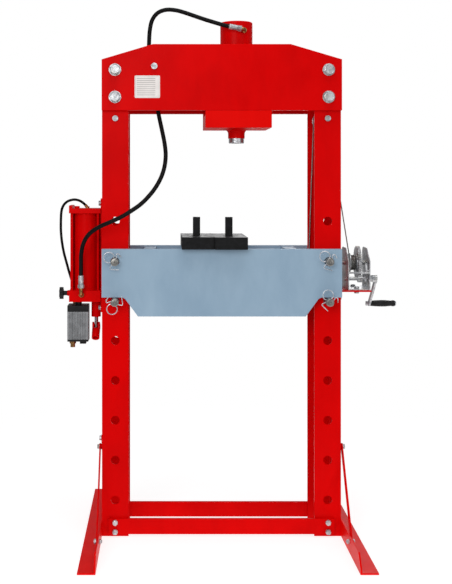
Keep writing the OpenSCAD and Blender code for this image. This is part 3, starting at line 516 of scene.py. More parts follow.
def outward(mesh):
    """Turn every face of a closed mesh outwards."""
    bm = bmesh.new()
    bm.from_mesh(mesh)
    bmesh.ops.remove_doubles(bm, verts=bm.verts, dist=1e-7)
    bmesh.ops.recalc_face_normals(bm, faces=bm.faces)
    bm.to_mesh(mesh)
    bm.free()


def smooth_path(points, spacing):
    """A curve through the points (centripetal style), resampled to about the given spacing."""
    pts = [Vector(p) for p in points]
    ends = [2 * pts[0] - pts[1], *pts, 2 * pts[-1] - pts[-2]]
    fine = []
    for a, b, c, d in zip(ends, ends[1:], ends[2:], ends[3:]):
        for k in range(12):
            t = k / 12
            fine.append(0.5 * (2 * b + (c - a) * t + (2 * a - 5 * b + 4 * c - d) * t * t
                               + (3 * b - a - 3 * c + d) * t ** 3))
    fine.append(pts[-1])
    steps = [0.0]
    for a, b in zip(fine, fine[1:]):
        steps.append(steps[-1] + (b - a).length)
    count = max(2, round(steps[-1] / spacing))
    wanted = np.linspace(0, steps[-1], count + 1)
    table = np.array([list(p) for p in fine])
    return [Vector([np.interp(w, steps, table[:, k]) for k in range(3)]) for w in wanted]


def path_length(path):
    """Length of a path through its points."""
    return sum((b - a).length for a, b in zip(path, path[1:]))


def swept(path, radius, sides, shape=None, lay=0.0):
    """A tube along a path with closed ends, and a UV that runs round and along it.

    shape gives the radius' share at each turn round the tube; lay is the twist per metre.
    """
    total = path_length(path)
    verts, faces, uvs = [], [], []
    ahead = (path[1] - path[0]).normalized()
    side = ahead.orthogonal().normalized()
    gone = 0.0
    for i, point in enumerate(path):
        before, after = path[max(i - 1, 0)], path[min(i + 1, len(path) - 1)]
        now = (after - before).normalized()
        side = (side - now * side.dot(now)).normalized()
        other = now.cross(side)
        if i:
            gone += (point - path[i - 1]).length
        for k in range(sides + 1):
            turn = tau * k / sides
            share = shape(turn) if shape else 1.0
            twist = turn + lay * gone
            verts.append(point + radius * share * (cos(twist) * side + sin(twist) * other))
            uvs.append((k / sides, gone / total))
    row = sides + 1
    for i in range(len(path) - 1):
        for k in range(sides):
            faces.append([i * row + k, i * row + k + 1, (i + 1) * row + k + 1, (i + 1) * row + k])
    faces.append([k for k in range(sides)][::-1])
    faces.append([(len(path) - 1) * row + k for k in range(sides)])
    return verts, faces, uvs


def tube_piece(name, path, radius, sides, finish, slot, body, shape=None, lay=0.0):
    """A swept tube whose seam is welded shut, with its UV kept in the face corners."""
    verts, faces, uvs = swept(path, radius, sides, shape, lay)
    mesh = bpy.data.meshes.new(name)
    mesh.from_pydata([tuple(v) for v in verts], [], faces)
    layer = mesh.uv_layers.new(name="surface")
    for loop in mesh.loops:
        layer.data[loop.index].uv = uvs[loop.vertex_index]
    bm = bmesh.new()
    bm.from_mesh(mesh)
    bmesh.ops.remove_doubles(bm, verts=bm.verts, dist=1e-7)
    bm.to_mesh(mesh)
    bm.free()
    return placed(name, mesh, finish, slot, body, 60.0)


# ---------------------------------------------------------------- Geometry Nodes shapes


class Shape(Tree):
    """A Geometry Nodes tree with named inputs, which ends in plain mesh with its finish."""

    def __init__(self, name, **inputs):
        self.group = bpy.data.node_groups.new(name, "GeometryNodeTree")
        super().__init__(self.group)
        sockets = self.group.interface
        sockets.new_socket("Geometry", in_out="OUTPUT", socket_type="NodeSocketGeometry")
        self.keys = {}
        for label, kind in {"Geometry": "Geometry", **inputs, "Finish": "Material"}.items():
            socket = sockets.new_socket(label, in_out="INPUT", socket_type="NodeSocket" + kind)
            self.keys[label] = socket.identifier
        self.entry = self.tree.nodes.new("NodeGroupInput")

    def given(self, label):
        return Value(self, self.entry.outputs[label])

    def vector(self, x=0.0, y=0.0, z=0.0):
        return self.node("ShaderNodeCombineXYZ", None, {"X": x, "Y": y, "Z": z})

    def lifted(self, geometry, height):
        inputs = {"Geometry": geometry, "Translation": self.vector(z=height)}
        return self.node("GeometryNodeTransform", None, inputs)

    def cylinder(self, sides, radius, depth, low):
        inputs = {"Vertices": sides, "Radius": radius, "Depth": depth}
        return self.lifted(self.node("GeometryNodeMeshCylinder", None, inputs), low + depth * 0.5)

    def together(self, *parts):
        return self.node("GeometryNodeJoinGeometry", None, {0: list(parts)})

    def random(self, low, high, seed):
        return self.node("FunctionNodeRandomValue", None, {2: low, 3: high, "Seed": seed}, 1)

    def at_points(self, points, instance, rotation, scale=None):
        inputs = {"Points": points, "Instance": instance, "Rotation": rotation}
        if scale:
            inputs["Scale"] = scale
        return self.node("GeometryNodeInstanceOnPoints", None, inputs)

    def close(self, geometry):
        solid = self.node("GeometryNodeRealizeInstances", None, {0: geometry})
        inputs = {"Geometry": solid, "Material": self.given("Finish")}
        self.node("NodeGroupOutput", None, {0: self.node("GeometryNodeSetMaterial", None, inputs)})

    def grown(self, name, verts, edges, facing, slot, body, **inputs):
        """The tree's result on a mesh of points or edges, as a plain mesh that rides on a body."""
        mesh = bpy.data.meshes.new(name)
        mesh.from_pydata([tuple(v) for v in verts], edges, [])
        if facing:
            layer = mesh.attributes.new("facing", "FLOAT_VECTOR", "POINT")
            layer.data.foreach_set("vector", [share for way in facing for share in way])
        seat = bpy.data.objects.new(name + "_places", mesh)
        SCENE.collection.objects.link(seat)
        maker = seat.modifiers.new("maker", "NODES")
        maker.node_group = self.group
        for label, value in inputs.items():
            maker[self.keys[label]] = value
        depsgraph = bpy.context.evaluated_depsgraph_get()
        final = bpy.data.meshes.new_from_object(seat.evaluated_get(depsgraph))
        bpy.data.objects.remove(seat)
        final.name = name
        return placed(name, final, None, slot, body)


def facing_turn(t, spin):
    """Rotation that turns Z along each point's facing, after a turn about Z itself."""
    inputs = {"Name": "facing"}
    way = t.node("GeometryNodeInputNamedAttribute", {"data_type": "FLOAT_VECTOR"}, inputs)
    aimed = t.node("FunctionNodeAlignRotationToVector", {"axis": "Z"}, {"Vector": way})
    turn = t.node("FunctionNodeEulerToRotation", None, {0: t.vector(z=spin)})
    return t.node("FunctionNodeRotateRotation", {"rotation_space": "LOCAL"}, {0: aimed, 1: turn})


def hexagon_heads():
    """Hexagon heads or nuts with chamfered corners, on washers, with a plain or threaded end."""
    t = Shape("hexagon heads", Flats="Float", Head="Float", Washer="Float", Collar="Float",
              Stud="Float", Out="Float", Seed="Int")
    flats, head, collar = t.given("Flats"), t.given("Head"), t.given("Collar")
    prism = t.cylinder(6, flats * (1 / sqrt(3)), head, collar)
    top = flats * 0.475
    over = 0.0006
    inputs = {"Vertices": 36, "Radius Top": top - over * sqrt(3),
              "Radius Bottom": top + (head + over) * sqrt(3), "Depth": head + 2 * over}
    cone = t.lifted(t.node("GeometryNodeMeshCone", None, inputs), collar - over)
    cut = {"operation": "INTERSECT", "solver": "EXACT"}
    hexagon_head = t.node("GeometryNodeMeshBoolean", cut, {1: [prism, cone]})
    washer = t.cylinder(40, t.given("Washer"), collar * 0.86, 0.0)
    rim = t.cylinder(40, t.given("Washer") * 0.96, collar, 0.0)
    boss = t.cylinder(36, flats * 0.43, head + collar + 0.0004, 0.0)
    stud = t.cylinder(32, t.given("Stud"), t.given("Out"), 0.0)
    bolt = t.together(hexagon_head, washer, rim, boss, stud)
    turn = facing_turn(t, t.random(0.0, tau / 6, t.given("Seed")))
    t.close(t.at_points(t.given("Geometry"), bolt, turn))
    return t


def stud_threads():
    """Screw threads, one on the end of each stud."""
    t = Shape("stud threads", Radius="Float", Low="Float", Long="Float", Pitch="Float")
    long, pitch, radius = t.given("Long"), t.given("Pitch"), t.given("Radius")
    inputs = {"Resolution": 16, "Rotations": long / pitch, "Start Radius": radius,
              "End Radius": radius, "Height": long}
    spiral = t.node("GeometryNodeCurveSpiral", None, inputs)
    ridge = t.node("GeometryNodeCurvePrimitiveCircle", None, {"Resolution": 4, "Radius": pitch * 0.42})
    thread = t.node("GeometryNodeCurveToMesh", None, {0: spiral, 1: ridge, "Fill Caps": True})
    t.close(t.at_points(t.given("Geometry"), t.lifted(thread, t.given("Low")), facing_turn(t, 0.0)))
    return t


def weld_beads():
    """A run of weld: overlapping scales of uneven size along each line."""
    t = Shape("weld beads", Width="Float", Pitch="Float", Seed="Int")
    width, pitch = t.given("Width"), t.given("Pitch")
    line = t.node("GeometryNodeMeshToCurve", None, {0: t.given("Geometry")})
    run = t.node("GeometryNodeResampleCurve", {"mode": "LENGTH"}, {0: line, "Length": pitch})
    scale = t.node("GeometryNodeMeshIcoSphere", None, {"Radius": 1.0, "Subdivisions": 2})
    tangent = t.node("GeometryNodeInputTangent")
    aimed = t.node("FunctionNodeAlignRotationToVector", {"axis": "X"}, {"Vector": tangent})
    size = width * t.random(0.42, 0.56, t.given("Seed"))
    t.close(t.at_points(run, scale, aimed, t.vector(pitch * 1.5, size, size * 0.8)))
    return t


# ---------------------------------------------------------------- camera, floor and light

AROUND = 0.34


def studio_set():
    """The camera at eye height to the left of the middle, a pale floor and soft light."""
    camera = bpy.data.objects.new("camera", bpy.data.cameras.new("camera"))
    SCENE.collection.objects.link(camera)
    SCENE.camera = camera
    camera.location = (-0.224, -4.15, 1.341)
    camera.rotation_euler = (radians(90), 0, 0)
    camera.data.sensor_width = 36.0
    camera.data.lens = 66.3
    camera.data.shift_x = 0.1096
    camera.data.shift_y = -0.1918
    camera.data.clip_end = 200.0

    rim = [(2.5 * cos(tau * k / 64), 2.5 * sin(tau * k / 64), -0.0005) for k in range(64)]
    mesh = bpy.data.meshes.new("floor")
    mesh.from_pydata(rim, [], [list(range(64))])
    mesh.materials.append(FLOOR)
    floor = bpy.data.objects.new("floor", mesh)
    SCENE.collection.objects.link(floor)

    world = bpy.data.worlds.new("studio")
    SCENE.world = world
    world.use_nodes = True
    world.node_tree.nodes.clear()
    sky = Tree(world.node_tree)
    seen = sky.node("ShaderNodeLightPath")
    strength = AROUND + seen * (1.0 - AROUND)
    glow = sky.node("ShaderNodeBackground", None, {"Color": (1.0, 1.0, 1.0, 1.0), "Strength": strength})
    sky.node("ShaderNodeOutputWorld", None, {"Surface": glow})

    softbox("key", (-1.6, -4.6, 2.6), (0.0, 0.0, 1.0), 2.6, 74.0)
    softbox("fill", (2.8, -4.2, 1.4), (0.0, 0.0, 0.9), 2.6, 30.0)
    softbox("top", (0.2, -0.9, 4.6), (0.0, 0.0, 1.0), 2.6, 46.0)
    softbox("back", (0.8, 4.0, 2.4), (0.0, 0.0, 1.2), 2.4, 30.0)
    SCENE.view_settings.view_transform = "Standard"


def softbox(name, at, towards, size, power):
    """A round area lamp that faces a point."""
    lamp = bpy.data.lights.new(name, "AREA")
    lamp.shape = "DISK"
    lamp.size = size
    lamp.energy = power
    made = bpy.data.objects.new(name, lamp)
    SCENE.collection.objects.link(made)
    made.location = at
    made.rotation_euler = (Vector(towards) - Vector(at)).to_track_quat("-Z", "Y").to_euler()


studio_set()


# ---------------------------------------------------------------- hoses

HYDRAULIC_D = 16 * MM
HYDRAULIC = [
    (-530, -85, 980), (-530, -85, 1020), (-529, -90, 1060), (-521, -104, 1098), (-504, -124, 1130),
    (-478, -146, 1154), (-446, -165, 1172), (-410, -178, 1188), (-372, -184, 1206), (-336, -181, 1228),
    (-302, -172, 1252), (-272, -158, 1282), (-246, -142, 1316), (-226, -125, 1354), (-214, -110, 1394),
    (-210, -97, 1436), (-214, -86, 1478), (-222, -76, 1520), (-231, -67, 1562), (-240, -59, 1606),
    (-250, -53, 1650), (-260, -48, 1695), (-269, -45, 1740), (-274, -43, 1785), (-274, -42, 1830),
    (-273, -42, 1875), (-270, -43, 1916), (-261, -46, 1952), (-240, -50, 1978), (-209, -54, 1989),
    (-174, -58, 1987), (-138, -63, 1977), (-100, -69, 1963), (-62, -76, 1949), (-26, -82, 1937),
    (10, -85, 1926), (30, -85, 1922),
]
AIR_D = 10 * MM
AIR = [
    (-521, 20, 1244), (-527, 20, 1250), (-538, 20, 1258), (-550, 20, 1263), (-564, 20, 1265),
    (-577, 20, 1263), (-590, 20, 1258), (-601, 21, 1249), (-609, 22, 1237), (-614, 24, 1221),
    (-616, 26, 1200), (-617, 29, 1172), (-617, 32, 1144), (-615, 36, 1114), (-611, 41, 1082),
    (-605, 47, 1050), (-597, 54, 1018), (-589, 61, 986), (-580, 67, 954), (-571, 70, 924),
    (-567, 71, 898), (-566, 71, 880), (-566, 71, 868),
]


def in_metres(points):
    """Points given in millimetres, as vectors in metres."""
    return [Vector(p) * MM for p in points]


def crimp(start, direction, radius, length, hex_flats, hex_length):
    """A hose end: a crimped sleeve with six rolled bands, then a hexagon."""
    bands = [(0.0, 0.0), (radius * 0.86, 0.0), (radius * 0.97, 0.0012)]
    pitch = (length - 0.004) / 5
    for k in range(5):
        low = 0.002 + k * pitch
        bands += [(radius, low), (radius, low + pitch * 0.55), (radius * 0.93, low + pitch * 0.72),
                  (radius * 0.93, low + pitch * 0.88)]
    bands += [(radius, length - 0.002), (radius * 0.94, length), (0.0, length)]
    sleeve = lathe_rings(bands, start, direction, 40)
    return joined([sleeve, hexagon(start + direction * length, direction, hex_flats, hex_length)])


def hexagon(start, direction, flats, height):
    """A hexagon across the given flats with its corners chamfered at both ends."""
    direction = Vector(direction).normalized()
    side = direction.orthogonal().normalized()
    other = direction.cross(side)
    corner = flats / 2 / cos(pi / 6)
    rings = []
    slope = 0.08 * flats
    for radius_share, reach in ((0.90, 0.0), (1.0, slope), (1.0, height - slope), (0.90, height)):
        ring = []
        for k in range(24):
            turn = tau * k / 24
            flat_r = flats / 2 / cos((turn + pi / 6) % (pi / 3) - pi / 6)
            radius = min(flat_r, corner * radius_share) if radius_share < 1 else flat_r
            ring.append(start + direction * reach + radius * (cos(turn) * side + sin(turn) * other))
        rings.append(ring)
    verts = [v for ring in rings for v in ring]
    faces = [[i * 24 + k, i * 24 + (k + 1) % 24, (i + 1) * 24 + (k + 1) % 24, (i + 1) * 24 + k]
             for i in range(3) for k in range(24)]
    faces.append(list(range(24))[::-1])
    faces.append([72 + k for k in range(24)])
    return verts, faces


def hydraulic_line(ends):
    """The pressure hose from the valve block, up behind the crown and over to the cylinder."""
    path = smooth_path(in_metres(HYDRAULIC), 0.008)
    length = path_length(path)
    cover = hose_rubber("hydraulic hose cover", HYDRAULIC_D, length)
    hose = tube_piece("hydraulic_hose_cover", path, HYDRAULIC_D / 2, 28, cover, "black_rubber", None)
    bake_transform(hose)
    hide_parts("hydraulic_hose")
    return hose


def air_line():
    """The thin air hose from the top plate round the tank to the motor."""
    path = smooth_path(in_metres(AIR), 0.005)
    length = path_length(path)
    cover = hose_rubber("air hose cover", AIR_D, length)
    hose = tube_piece("air_hose_cover", path, AIR_D / 2, 24, cover, "black_rubber", "frame")
    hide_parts("air_hose")
    return hose


# ---------------------------------------------------------------- hose ends


def swivel(node, name, start, way, elbow, port):
    """A crimped hose end in zinc, and the brass elbow that it turns into, as two pieces."""
    verts, faces = crimp(start, Vector(way), 0.0105, 0.034, 0.022, 0.014)
    metal = piece(name + "_crimp", verts, faces, ZINC, slot_of(node), body_of(node))
    outward(metal.data)
    bend = smooth_path(elbow, 0.0015)
    tube_verts, tube_faces, _ = swept(bend, 0.0075, 32)
    seat_verts, seat_faces = hexagon(Vector(port[0]), Vector(port[1]), 0.019, 0.008)
    verts, faces = joined([(tube_verts, tube_faces), (seat_verts, seat_faces)])
    turned_part = piece(name + "_elbow", verts, faces, BRASS, slot_of(node), body_of(node))
    outward(turned_part.data)
    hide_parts(node)
    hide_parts(node)
    return [metal, turned_part]


def hose_ends():
    """The fittings at both ends of the pressure hose."""
    low = Vector(HYDRAULIC[0]) * MM
    block_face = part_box("valve_block")[0][1]
    foot = low - Vector((0, 0, 0.052))
    bend = [foot + Vector((0, 0, 0.006)), foot + Vector((0, 0, -0.004)), foot + Vector((0, 0.003, -0.014)),
            foot + Vector((0, 0.010, -0.021)), Vector((low.x, block_face - 0.004, foot.z - 0.023)),
            Vector((low.x, block_face, foot.z - 0.023))]
    lower = swivel("pump_hose_fitting", "pump_hose", low, (0, 0, -1), bend,
                   ((low.x, block_face - 0.009, foot.z - 0.023), (0, 1, 0)))
    high = Vector(HYDRAULIC[-1]) * MM
    way = (Vector(HYDRAULIC[-1]) - Vector(HYDRAULIC[-2])).normalized()
    end = high + way * 0.048
    port = Vector((0.088, 0.0, 1.910))
    bend = [end - way * 0.004, end + way * 0.004, Vector((port.x - 0.002, high.y + 0.002, port.z + 0.001)),
            Vector((port.x, high.y + 0.010, port.z)), Vector((port.x, high.y + 0.022, port.z)),
            Vector((port.x, high.y + 0.029, port.z))]
    upper = swivel("cylinder_hose_fitting", "cylinder_hose", high, way, bend,
                   ((port.x, high.y + 0.014, port.z), (0, 1, 0)))
    return lower + upper


# ---------------------------------------------------------------- pins


CLIP = [(-14, -30), (-30, -4), (-22, 2), (-8, 4), (-9, 11)]
CLIP_END = [(9, 11), (14, 3), (26, 12), (32, 6), (29, -8)]


def clip_line(centre, turn):
    """The spring clip's wire: a prong, a round loop beside the pin, and another prong."""
    loop_r, loop_up = 19.5, 27.0
    start = atan2(11 - loop_up, -9)
    end = atan2(11 - loop_up, 9)
    sweep = (end - start) % tau - tau
    ring = [(loop_r * cos(start + sweep * k / 14), loop_up + loop_r * sin(start + sweep * k / 14))
            for k in range(1, 14)]
    line = []
    for across, up in CLIP + ring + CLIP_END:
        x = across * cos(turn) - up * sin(turn)
        z = across * sin(turn) + up * cos(turn)
        line.append(centre + Vector((x * MM, 0.0, z * MM)))
    return line


def table_pin(node, turn):
    """A turned steel pin with a chamfered nose, a centre mark and its spring clip."""
    low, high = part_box(node)
    radius = 0.015
    middle = {"left": -0.400, "right": 0.400}[node.split("_")[2]]
    heights = {"upper": 1.036, "lower": 0.886}[node.split("_")[1]]
    nose = Vector((middle, low[1], heights))
    long = high[1] - low[1]
    profile = [(0.0, 0.0016), (0.0016, 0.0016), (0.0032, 0.0), (0.0118, 0.0), (0.0132, 0.0005),
               (radius, 0.0026), (radius, 0.0100), (radius - 0.0004, 0.0104), (radius - 0.0004, 0.0110),
               (radius, 0.0114), (radius, long - 0.0024), (radius - 0.0022, long), (0.0, long)]
    verts, faces = lathe_rings(profile, nose, (0, 1, 0), 56)
    made = piece(node + "_turned", verts, faces, PIN_STEEL, slot_of(node), body_of(node))
    outward(made.data)
    path = smooth_path(clip_line(nose + Vector((0.0, 0.014, 0.0)), radians(turn)), 0.0012)
    wire_verts, wire_faces, _ = swept(path, 0.00175, 12)
    wire = piece(node + "_clip", wire_verts, wire_faces, SPRING, slot_of(node), body_of(node))
    outward(wire.data)
    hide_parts(node)
    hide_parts(node)


# ---------------------------------------------------------------- lifting rope

ROPE_R = 0.0025
ROPE_LAY = tau / 0.022


def six_strands(turn):
    """Share of the rope's radius round its six strands."""
    return 0.84 + 0.16 * abs(cos(3 * turn))


def rope_piece(node, path, body):
    """One run of stranded rope in place of its node."""
    fine = smooth_path(path, 0.0028)
    made = tube_piece(node + "_strands", fine, ROPE_R, 24, WIRE_ROPE, slot_of(node), body,
                      six_strands, ROPE_LAY)
    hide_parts(node)
    return made


def round_sheave(centre, radius, first, last, steps=10):
    """Points on a circle in the plane of the sheaves, from one angle to the other in degrees."""
    points = []
    for k in range(steps + 1):
        turn = radians(first + (last - first) * k / steps)
        points.append(centre + radius * Vector((cos(turn), 0.0, sin(turn))))
    return points


def lifting_rope():
    """The one steel rope, in the runs that its sheaves part it into."""
    small, large = 0.022, 0.028
    low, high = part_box("rope_drop_left")
    y = (low[1] + high[1]) / 2
    left_x = (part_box("table_sheave_left")[0][0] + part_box("table_sheave_left")[1][0]) / 2
    small_z = (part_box("table_sheave_left")[0][2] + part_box("table_sheave_left")[1][2]) / 2
    top_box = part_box("top_sheave")
    top = Vector(((top_box[0][0] + top_box[1][0]) / 2, y, (top_box[0][2] + top_box[1][2]) / 2))
    left = Vector((left_x, y, small_z))
    right = Vector((-left_x, y, small_z))

    start = Vector((low[0] + ROPE_R, y, high[2]))
    end = left - Vector((small, 0.0, -0.001))
    drop = rope_piece("rope_drop_left", [start, start.lerp(end, 0.5), end], None)
    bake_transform(drop)
    start = top - Vector((large, 0.0, 0.001))
    end = right + Vector((small, 0.0, 0.001))
    drop = rope_piece("rope_drop_right", [start, start.lerp(end, 0.5), end], None)
    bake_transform(drop)
    under = round_sheave(left, small, 180, 270) + round_sheave(right, small, 270, 360)
    rope_piece("rope_table_run", under, body_of("rope_table_run"))

    run_low, run_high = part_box("rope_winch_run")
    out = Vector((run_high[0] - ROPE_R, run_high[1] - ROPE_R, run_low[2] + 0.0005))
    over = round_sheave(top, large, 180, 0, 16)
    rope_piece("rope_winch_run", over + [over[-1].lerp(out, 0.5), out], body_of("rope_winch_run"))


def rope_on_drum():
    """Three tight turns of rope on the drum, over the turns below them."""
    low, high = (Vector(corner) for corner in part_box("winch_rope_coil"))
    middle, reach = (low + high) / 2, (high.z - low.z) / 2
    radius = reach - ROPE_R
    turns, steps = 3, 36
    path = []
    for k in range(turns * steps + 1):
        turn = tau * k / steps
        x = low.x + ROPE_R + (high.x - low.x - 2 * ROPE_R) * k / (turns * steps)
        path.append(Vector((x, middle.y + radius * cos(turn), middle.z + radius * sin(turn))))
    outer, outer_faces, uvs = swept(path, ROPE_R, 20, six_strands, ROPE_LAY)
    inner_r = radius - 0.0026
    profile = [(0.0185, 0.0), (inner_r - 0.001, 0.0)]
    for k in range(16):
        share = (k + 0.5) / 16
        swell = 0.0011 * abs(sin(pi * share * 4))
        profile.append((inner_r - 0.0011 + swell, share * (high.x - low.x)))
    profile += [(inner_r - 0.001, high.x - low.x), (0.0185, high.x - low.x), (0.0185, 0.0)]
    under, under_faces = lathe_rings(profile, Vector((low.x, middle.y, middle.z)), (1, 0, 0), 72)
    verts, faces = joined([(outer, outer_faces), (under, under_faces)])
    uvs = uvs + [(0.5, 0.0)] * len(under)
    made = piece("drum_rope_turns", verts, faces, WIRE_ROPE, slot_of("winch_rope_coil"),
                 body_of("winch_rope_coil"), uvs, 60.0)
    outward(made.data)
    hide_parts("winch_rope_coil")


# ---------------------------------------------------------------- bolts

HEADS = hexagon_heads()
THREADS = stud_threads()


def axis_of(low, high):
    """The axis along which a box is longest: 0, 1 or 2."""
    size = high - low
    return max(range(3), key=lambda k: size[k])


def bolt_set(node, rows):
    """Every bolt of a node; rows are (axis, diameter, flats, washer radius, washer height)."""
    makers = []
    for axis, d, flats, washer, collar in rows:
        heads, nuts, ways = [], [], []
        for low, high in solids(node):
            if axis_of(low, high) != axis or high[axis] - low[axis] < 0.02:
                continue
            middle = (low + high) / 2
            side = 1.0 if middle[axis] > 0 else -1.0
            out, back = (high[axis], low[axis]) if side > 0 else (low[axis], high[axis])
            way = Vector((0.0, 0.0, 0.0))
            way[axis] = side
            head, nut = middle.copy(), middle.copy()
            head[axis] = out - side * (collar + 0.65 * d)
            nut[axis] = back + side * 1.1 * d
            heads.append(head)
            nuts.append(nut)
            ways.append(way)
        names = [f"{node}_{part}_{'xyz'[axis]}" for part in ("heads", "nuts", "threads")]
        slot, body = slot_of(node), body_of(node)
        makers.append(HEADS.grown(names[0], heads, [], ways, slot, body, Flats=flats, Head=0.65 * d - 0.0004,
                                  Washer=washer, Collar=collar, Stud=d / 2, Out=collar, Seed=3, Finish=ZINC))
        backs = [-way for way in ways]
        makers.append(HEADS.grown(names[1], nuts, [], backs, slot, body, Flats=flats, Head=0.8 * d - 0.0008,
                                  Washer=flats * 0.5, Collar=0.0008, Stud=d * 0.46, Out=1.1 * d, Seed=5,
                                  Finish=ZINC))
        makers.append(THREADS.grown(names[2], nuts, [], backs, slot, body, Radius=d * 0.46, Low=0.82 * d,
                                    Long=0.25 * d, Pitch=d * 0.1, Finish=ZINC))
    for made in makers:
        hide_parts(node)


def bolted_joints():
    """The large bolts of the crown and the small bolts of the base."""
    bolt_set("crown_bolts", [(1, 0.024, 0.036, 0.023, 0.0025)])
    bolt_set("base_bolts", [(1, 0.012, 0.018, 0.0100, 0.0025), (0, 0.010, 0.016, 0.0095, 0.002)])


# ---------------------------------------------------------------- welds

WELDS = weld_beads()


def ring_line(centre, radius, steps=72):
    """A level ring of points and the edges between them."""
    verts = [Vector(centre) + radius * Vector((cos(tau * k / steps), sin(tau * k / steps), 0.0))
             for k in range(steps)]
    return verts, [(k, (k + 1) % steps) for k in range(steps)]


def straight_lines(pairs):
    """Points and edges of separate straight lines."""
    verts = [Vector(point) for pair in pairs for point in pair]
    return verts, [(2 * k, 2 * k + 1) for k in range(len(pairs))]


def weld(name, lines, node, width, finish):
    """Weld beads along lines, on a node's body."""
    verts, edges = [], []
    for more_verts, more_edges in lines:
        start = len(verts)
        verts += more_verts
        edges += [(start + a, start + b) for a, b in more_edges]
    return WELDS.grown(name, verts, edges, None, slot_of(node), body_of(node), Width=width,
                       Pitch=0.0034, Seed=11, Finish=finish)


def welded_seams():
    """Welds round the tank, along the pump's bracket and on the table's tie bars."""
    low, high = (Vector(corner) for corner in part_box("reservoir"))
    middle, radius = (low + high) / 2, (high.x - low.x) / 2
    rings = [ring_line((middle.x, middle.y, z), radius) for z in (low.z + 0.001, high.z - 0.001)]
    weld("tank_welds", rings, "reservoir", 0.005, RED)

    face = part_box("pump_bracket")[0][0]
    plate_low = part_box("pump_top_plate")[0]
    block_low, block_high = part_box("valve_block")
    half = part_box("pump_bracket")[1][1]
    pairs = [((face, -half, z), (face, half, z)) for z in (plate_low[2], block_low[2], block_high[2])]
    weld("bracket_welds", [straight_lines(pairs)], "pump_bracket", 0.006, RED)

    pairs = []
    front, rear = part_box("table_front_plate")[1][1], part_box("table_rear_plate")[0][1]
    for low, high in solids("table_spacers"):
        for y in (front, rear):
            for x in (low.x, high.x):
                pairs.append(((x, y, low.z), (x, y, high.z - 0.005)))
            pairs.append(((low.x, y, high.z), (high.x, y, high.z)))
            pairs.append(((low.x, y, low.z), (high.x, y, low.z)))
    weld("table_welds", [straight_lines(pairs)], "table_spacers", 0.007, BLUE_GREY)


# ---------------------------------------------------------------- small parts


def crank_handle():
    """The turning grip: a swelled body with moulded rings and a rounded end."""
    low, high = (Vector(corner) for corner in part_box("crank_grip"))
    long = high.x - low.x
    bore = 0.00505
    shape = [(0.0, 9.4), (0.006, 10.2), (0.03, 10.6), (0.06, 10.8), (0.2, 12.0), (0.34, 12.7),
             (0.48, 13.0), (0.62, 12.7), (0.76, 11.4), (0.83, 10.6), (0.87, 10.9), (0.885, 12.0),
             (0.965, 12.0), (0.99, 11.2), (1.0, 9.6)]
    shares = np.linspace(0.0, 1.0, 90)
    radii = np.interp(shares, [share for share, _ in shape], [r for _, r in shape])
    profile = [(bore, 0.0)]
    for share, radius in zip(shares.tolist(), radii.tolist()):
        ring = 0.25 if 0.22 < share < 0.74 and int(share * 88) % 6 == 0 else 0.0
        profile.append((min(0.01295, (radius - ring) * MM), share * long))
    profile += [(bore, long), (bore, 0.0)]
    verts, faces = lathe_rings(profile, Vector((low.x, (low.y + high.y) / 2, (low.z + high.z) / 2)),
                               (1, 0, 0), 56)
    made = piece("crank_grip_moulded", verts, faces, BLACK_PLASTIC, slot_of("crank_grip"),
                 body_of("crank_grip"))
    outward(made.data)
    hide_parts("crank_grip")


def ram_spring():
    """The return spring, which the piston presses together as the ram comes down; its coils here are a fixed
    copy that does not move.
    """
    bm = cad_copy("return_spring")
    mesh = bpy.data.meshes.new("return_spring_coils")
    bm.to_mesh(mesh)
    bm.free()
    made = placed("return_spring_coils", mesh, SPRING, slot_of("return_spring"), None)
    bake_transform(made)
    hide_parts("return_spring")


def rating_plate():
    """The thin blank plate stuck on the front of the crown."""
    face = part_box("crown_front_plate")[0][1]
    centre, half, corner, thick = (-0.279, 1.690), (0.0475, 0.042), 0.004, 0.0004
    outline = []
    for sx, sz, first in ((1, 1, 0), (-1, 1, 90), (-1, -1, 180), (1, -1, 270)):
        for k in range(7):
            turn = radians(first + 15 * k)
            outline.append((sx * (half[0] - corner) + corner * cos(turn),
                            sz * (half[1] - corner) + corner * sin(turn)))
    verts = [(centre[0] + x, face - depth, centre[1] + z) for depth in (0.0, thick) for x, z in outline]
    n = len(outline)
    faces = [list(range(n)), [n + k for k in range(n)][::-1]]
    faces += [[k, n + k, n + (k + 1) % n, (k + 1) % n] for k in range(n)]
    uvs = [(x / half[0] / 2 + 0.5, z / half[1] / 2 + 0.5) for _ in range(2) for x, z in outline]
    made = piece("rating_plate_blank", verts, faces, LABEL, "motor_aluminium",
                 body_of("crown_front_plate"), uvs)
    outward(made.data)


air_line()
hydraulic_line(hose_ends())
table_pin("pin_upper_left", 53)
table_pin("pin_upper_right", 42)
table_pin("pin_lower_left", 158)
table_pin("pin_lower_right", 13)
lifting_rope()
rope_on_drum()
bolted_joints()
welded_seams()
crank_handle()
ram_spring()
rating_plate()

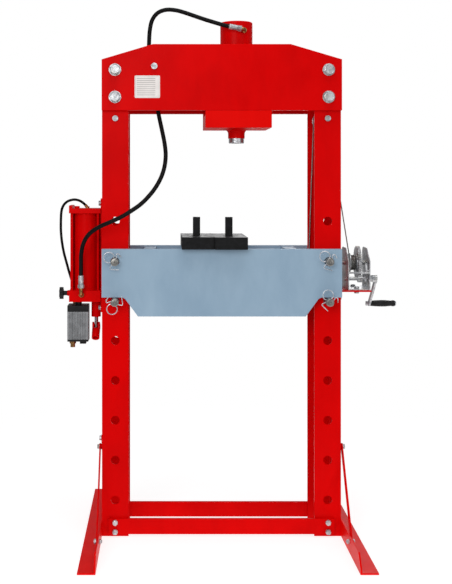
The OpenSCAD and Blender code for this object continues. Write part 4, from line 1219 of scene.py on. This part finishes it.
SOFT_EDGES = {
    RED: {"column_left": 1.5, "column_right": 1.5, "crown_front_plate": 1.2, "crown_rear_plate": 1.2,
          "lower_beams": 1.0, "foot_struts": 0.8, "winch_shelf": 0.7, "pump_bracket": 0.8,
          "pump_top_plate": 1.0, "reservoir_stays": 0.6, "valve_block": 1.4, "hand_pump_barrel": 0.8,
          "handle_yoke": 0.8, "filler_cap": 0.8},
    # The feet and the saddle take the lighter copy of the red enamel, a painted highlight.
    LIT_RED: {"foot_left": 1.0, "foot_right": 1.0, "saddle": 1.4},
    BLUE_GREY: {"table_front_plate": 1.3, "table_rear_plate": 1.3, "table_spacers": 0.8},
    ZINC: {"winch_frame": 0.5, "winch_crank": 0.7, "winch_pawl": 0.5, "winch_gear": 0.3,
           "through_bolts": 0.9, "winch_pinion_shaft": 0.4},
    BLACK_STEEL: {"press_block_left": 1.6, "press_block_right": 1.6},
    BLACK_PLASTIC: {"release_knob": 1.8, "air_motor_caps": 1.5},
    ALUMINIUM: {"air_motor_body": 0.35},
}

for finish, edges in SOFT_EDGES.items():
    for node, width in edges.items():
        softened(node, width * MM, finish)


# ---------------------------------------------------------------- carried-over nodes

BARE_NODES = {
    RED: ["reservoir", "cylinder_barrel"],
    ZINC: ["crown_bolts", "base_bolts", "bracket_bolts", "top_sheave", "table_sheave_left",
           "table_sheave_right", "table_sheave_axles", "winch_drum", "pump_hose_fitting",
           "cylinder_hose_fitting"],
    SPRING: ["return_spring"],
    PIN_STEEL: ["pin_upper_left", "pin_upper_right", "pin_lower_left", "pin_lower_right"],
    RAM_STEEL: ["ram", "hand_pump_plunger"],
    BLACK_PLASTIC: ["crank_grip"],
    BRASS: ["air_fittings"],
    WIRE_ROPE: ["rope_drop_left", "rope_drop_right", "rope_table_run", "rope_winch_run",
                "winch_rope_coil"],
    SEAL: ["piston_seal"],
}


def dress_nodes():
    """Give each CAD node its finish, with or without a softened copy."""
    for table in (SOFT_EDGES, BARE_NODES):
        for finish, nodes in table.items():
            for node in nodes:
                mesh = frame["nodes"][node].data
                mesh.materials.clear()
                mesh.materials.append(finish)


dress_nodes()
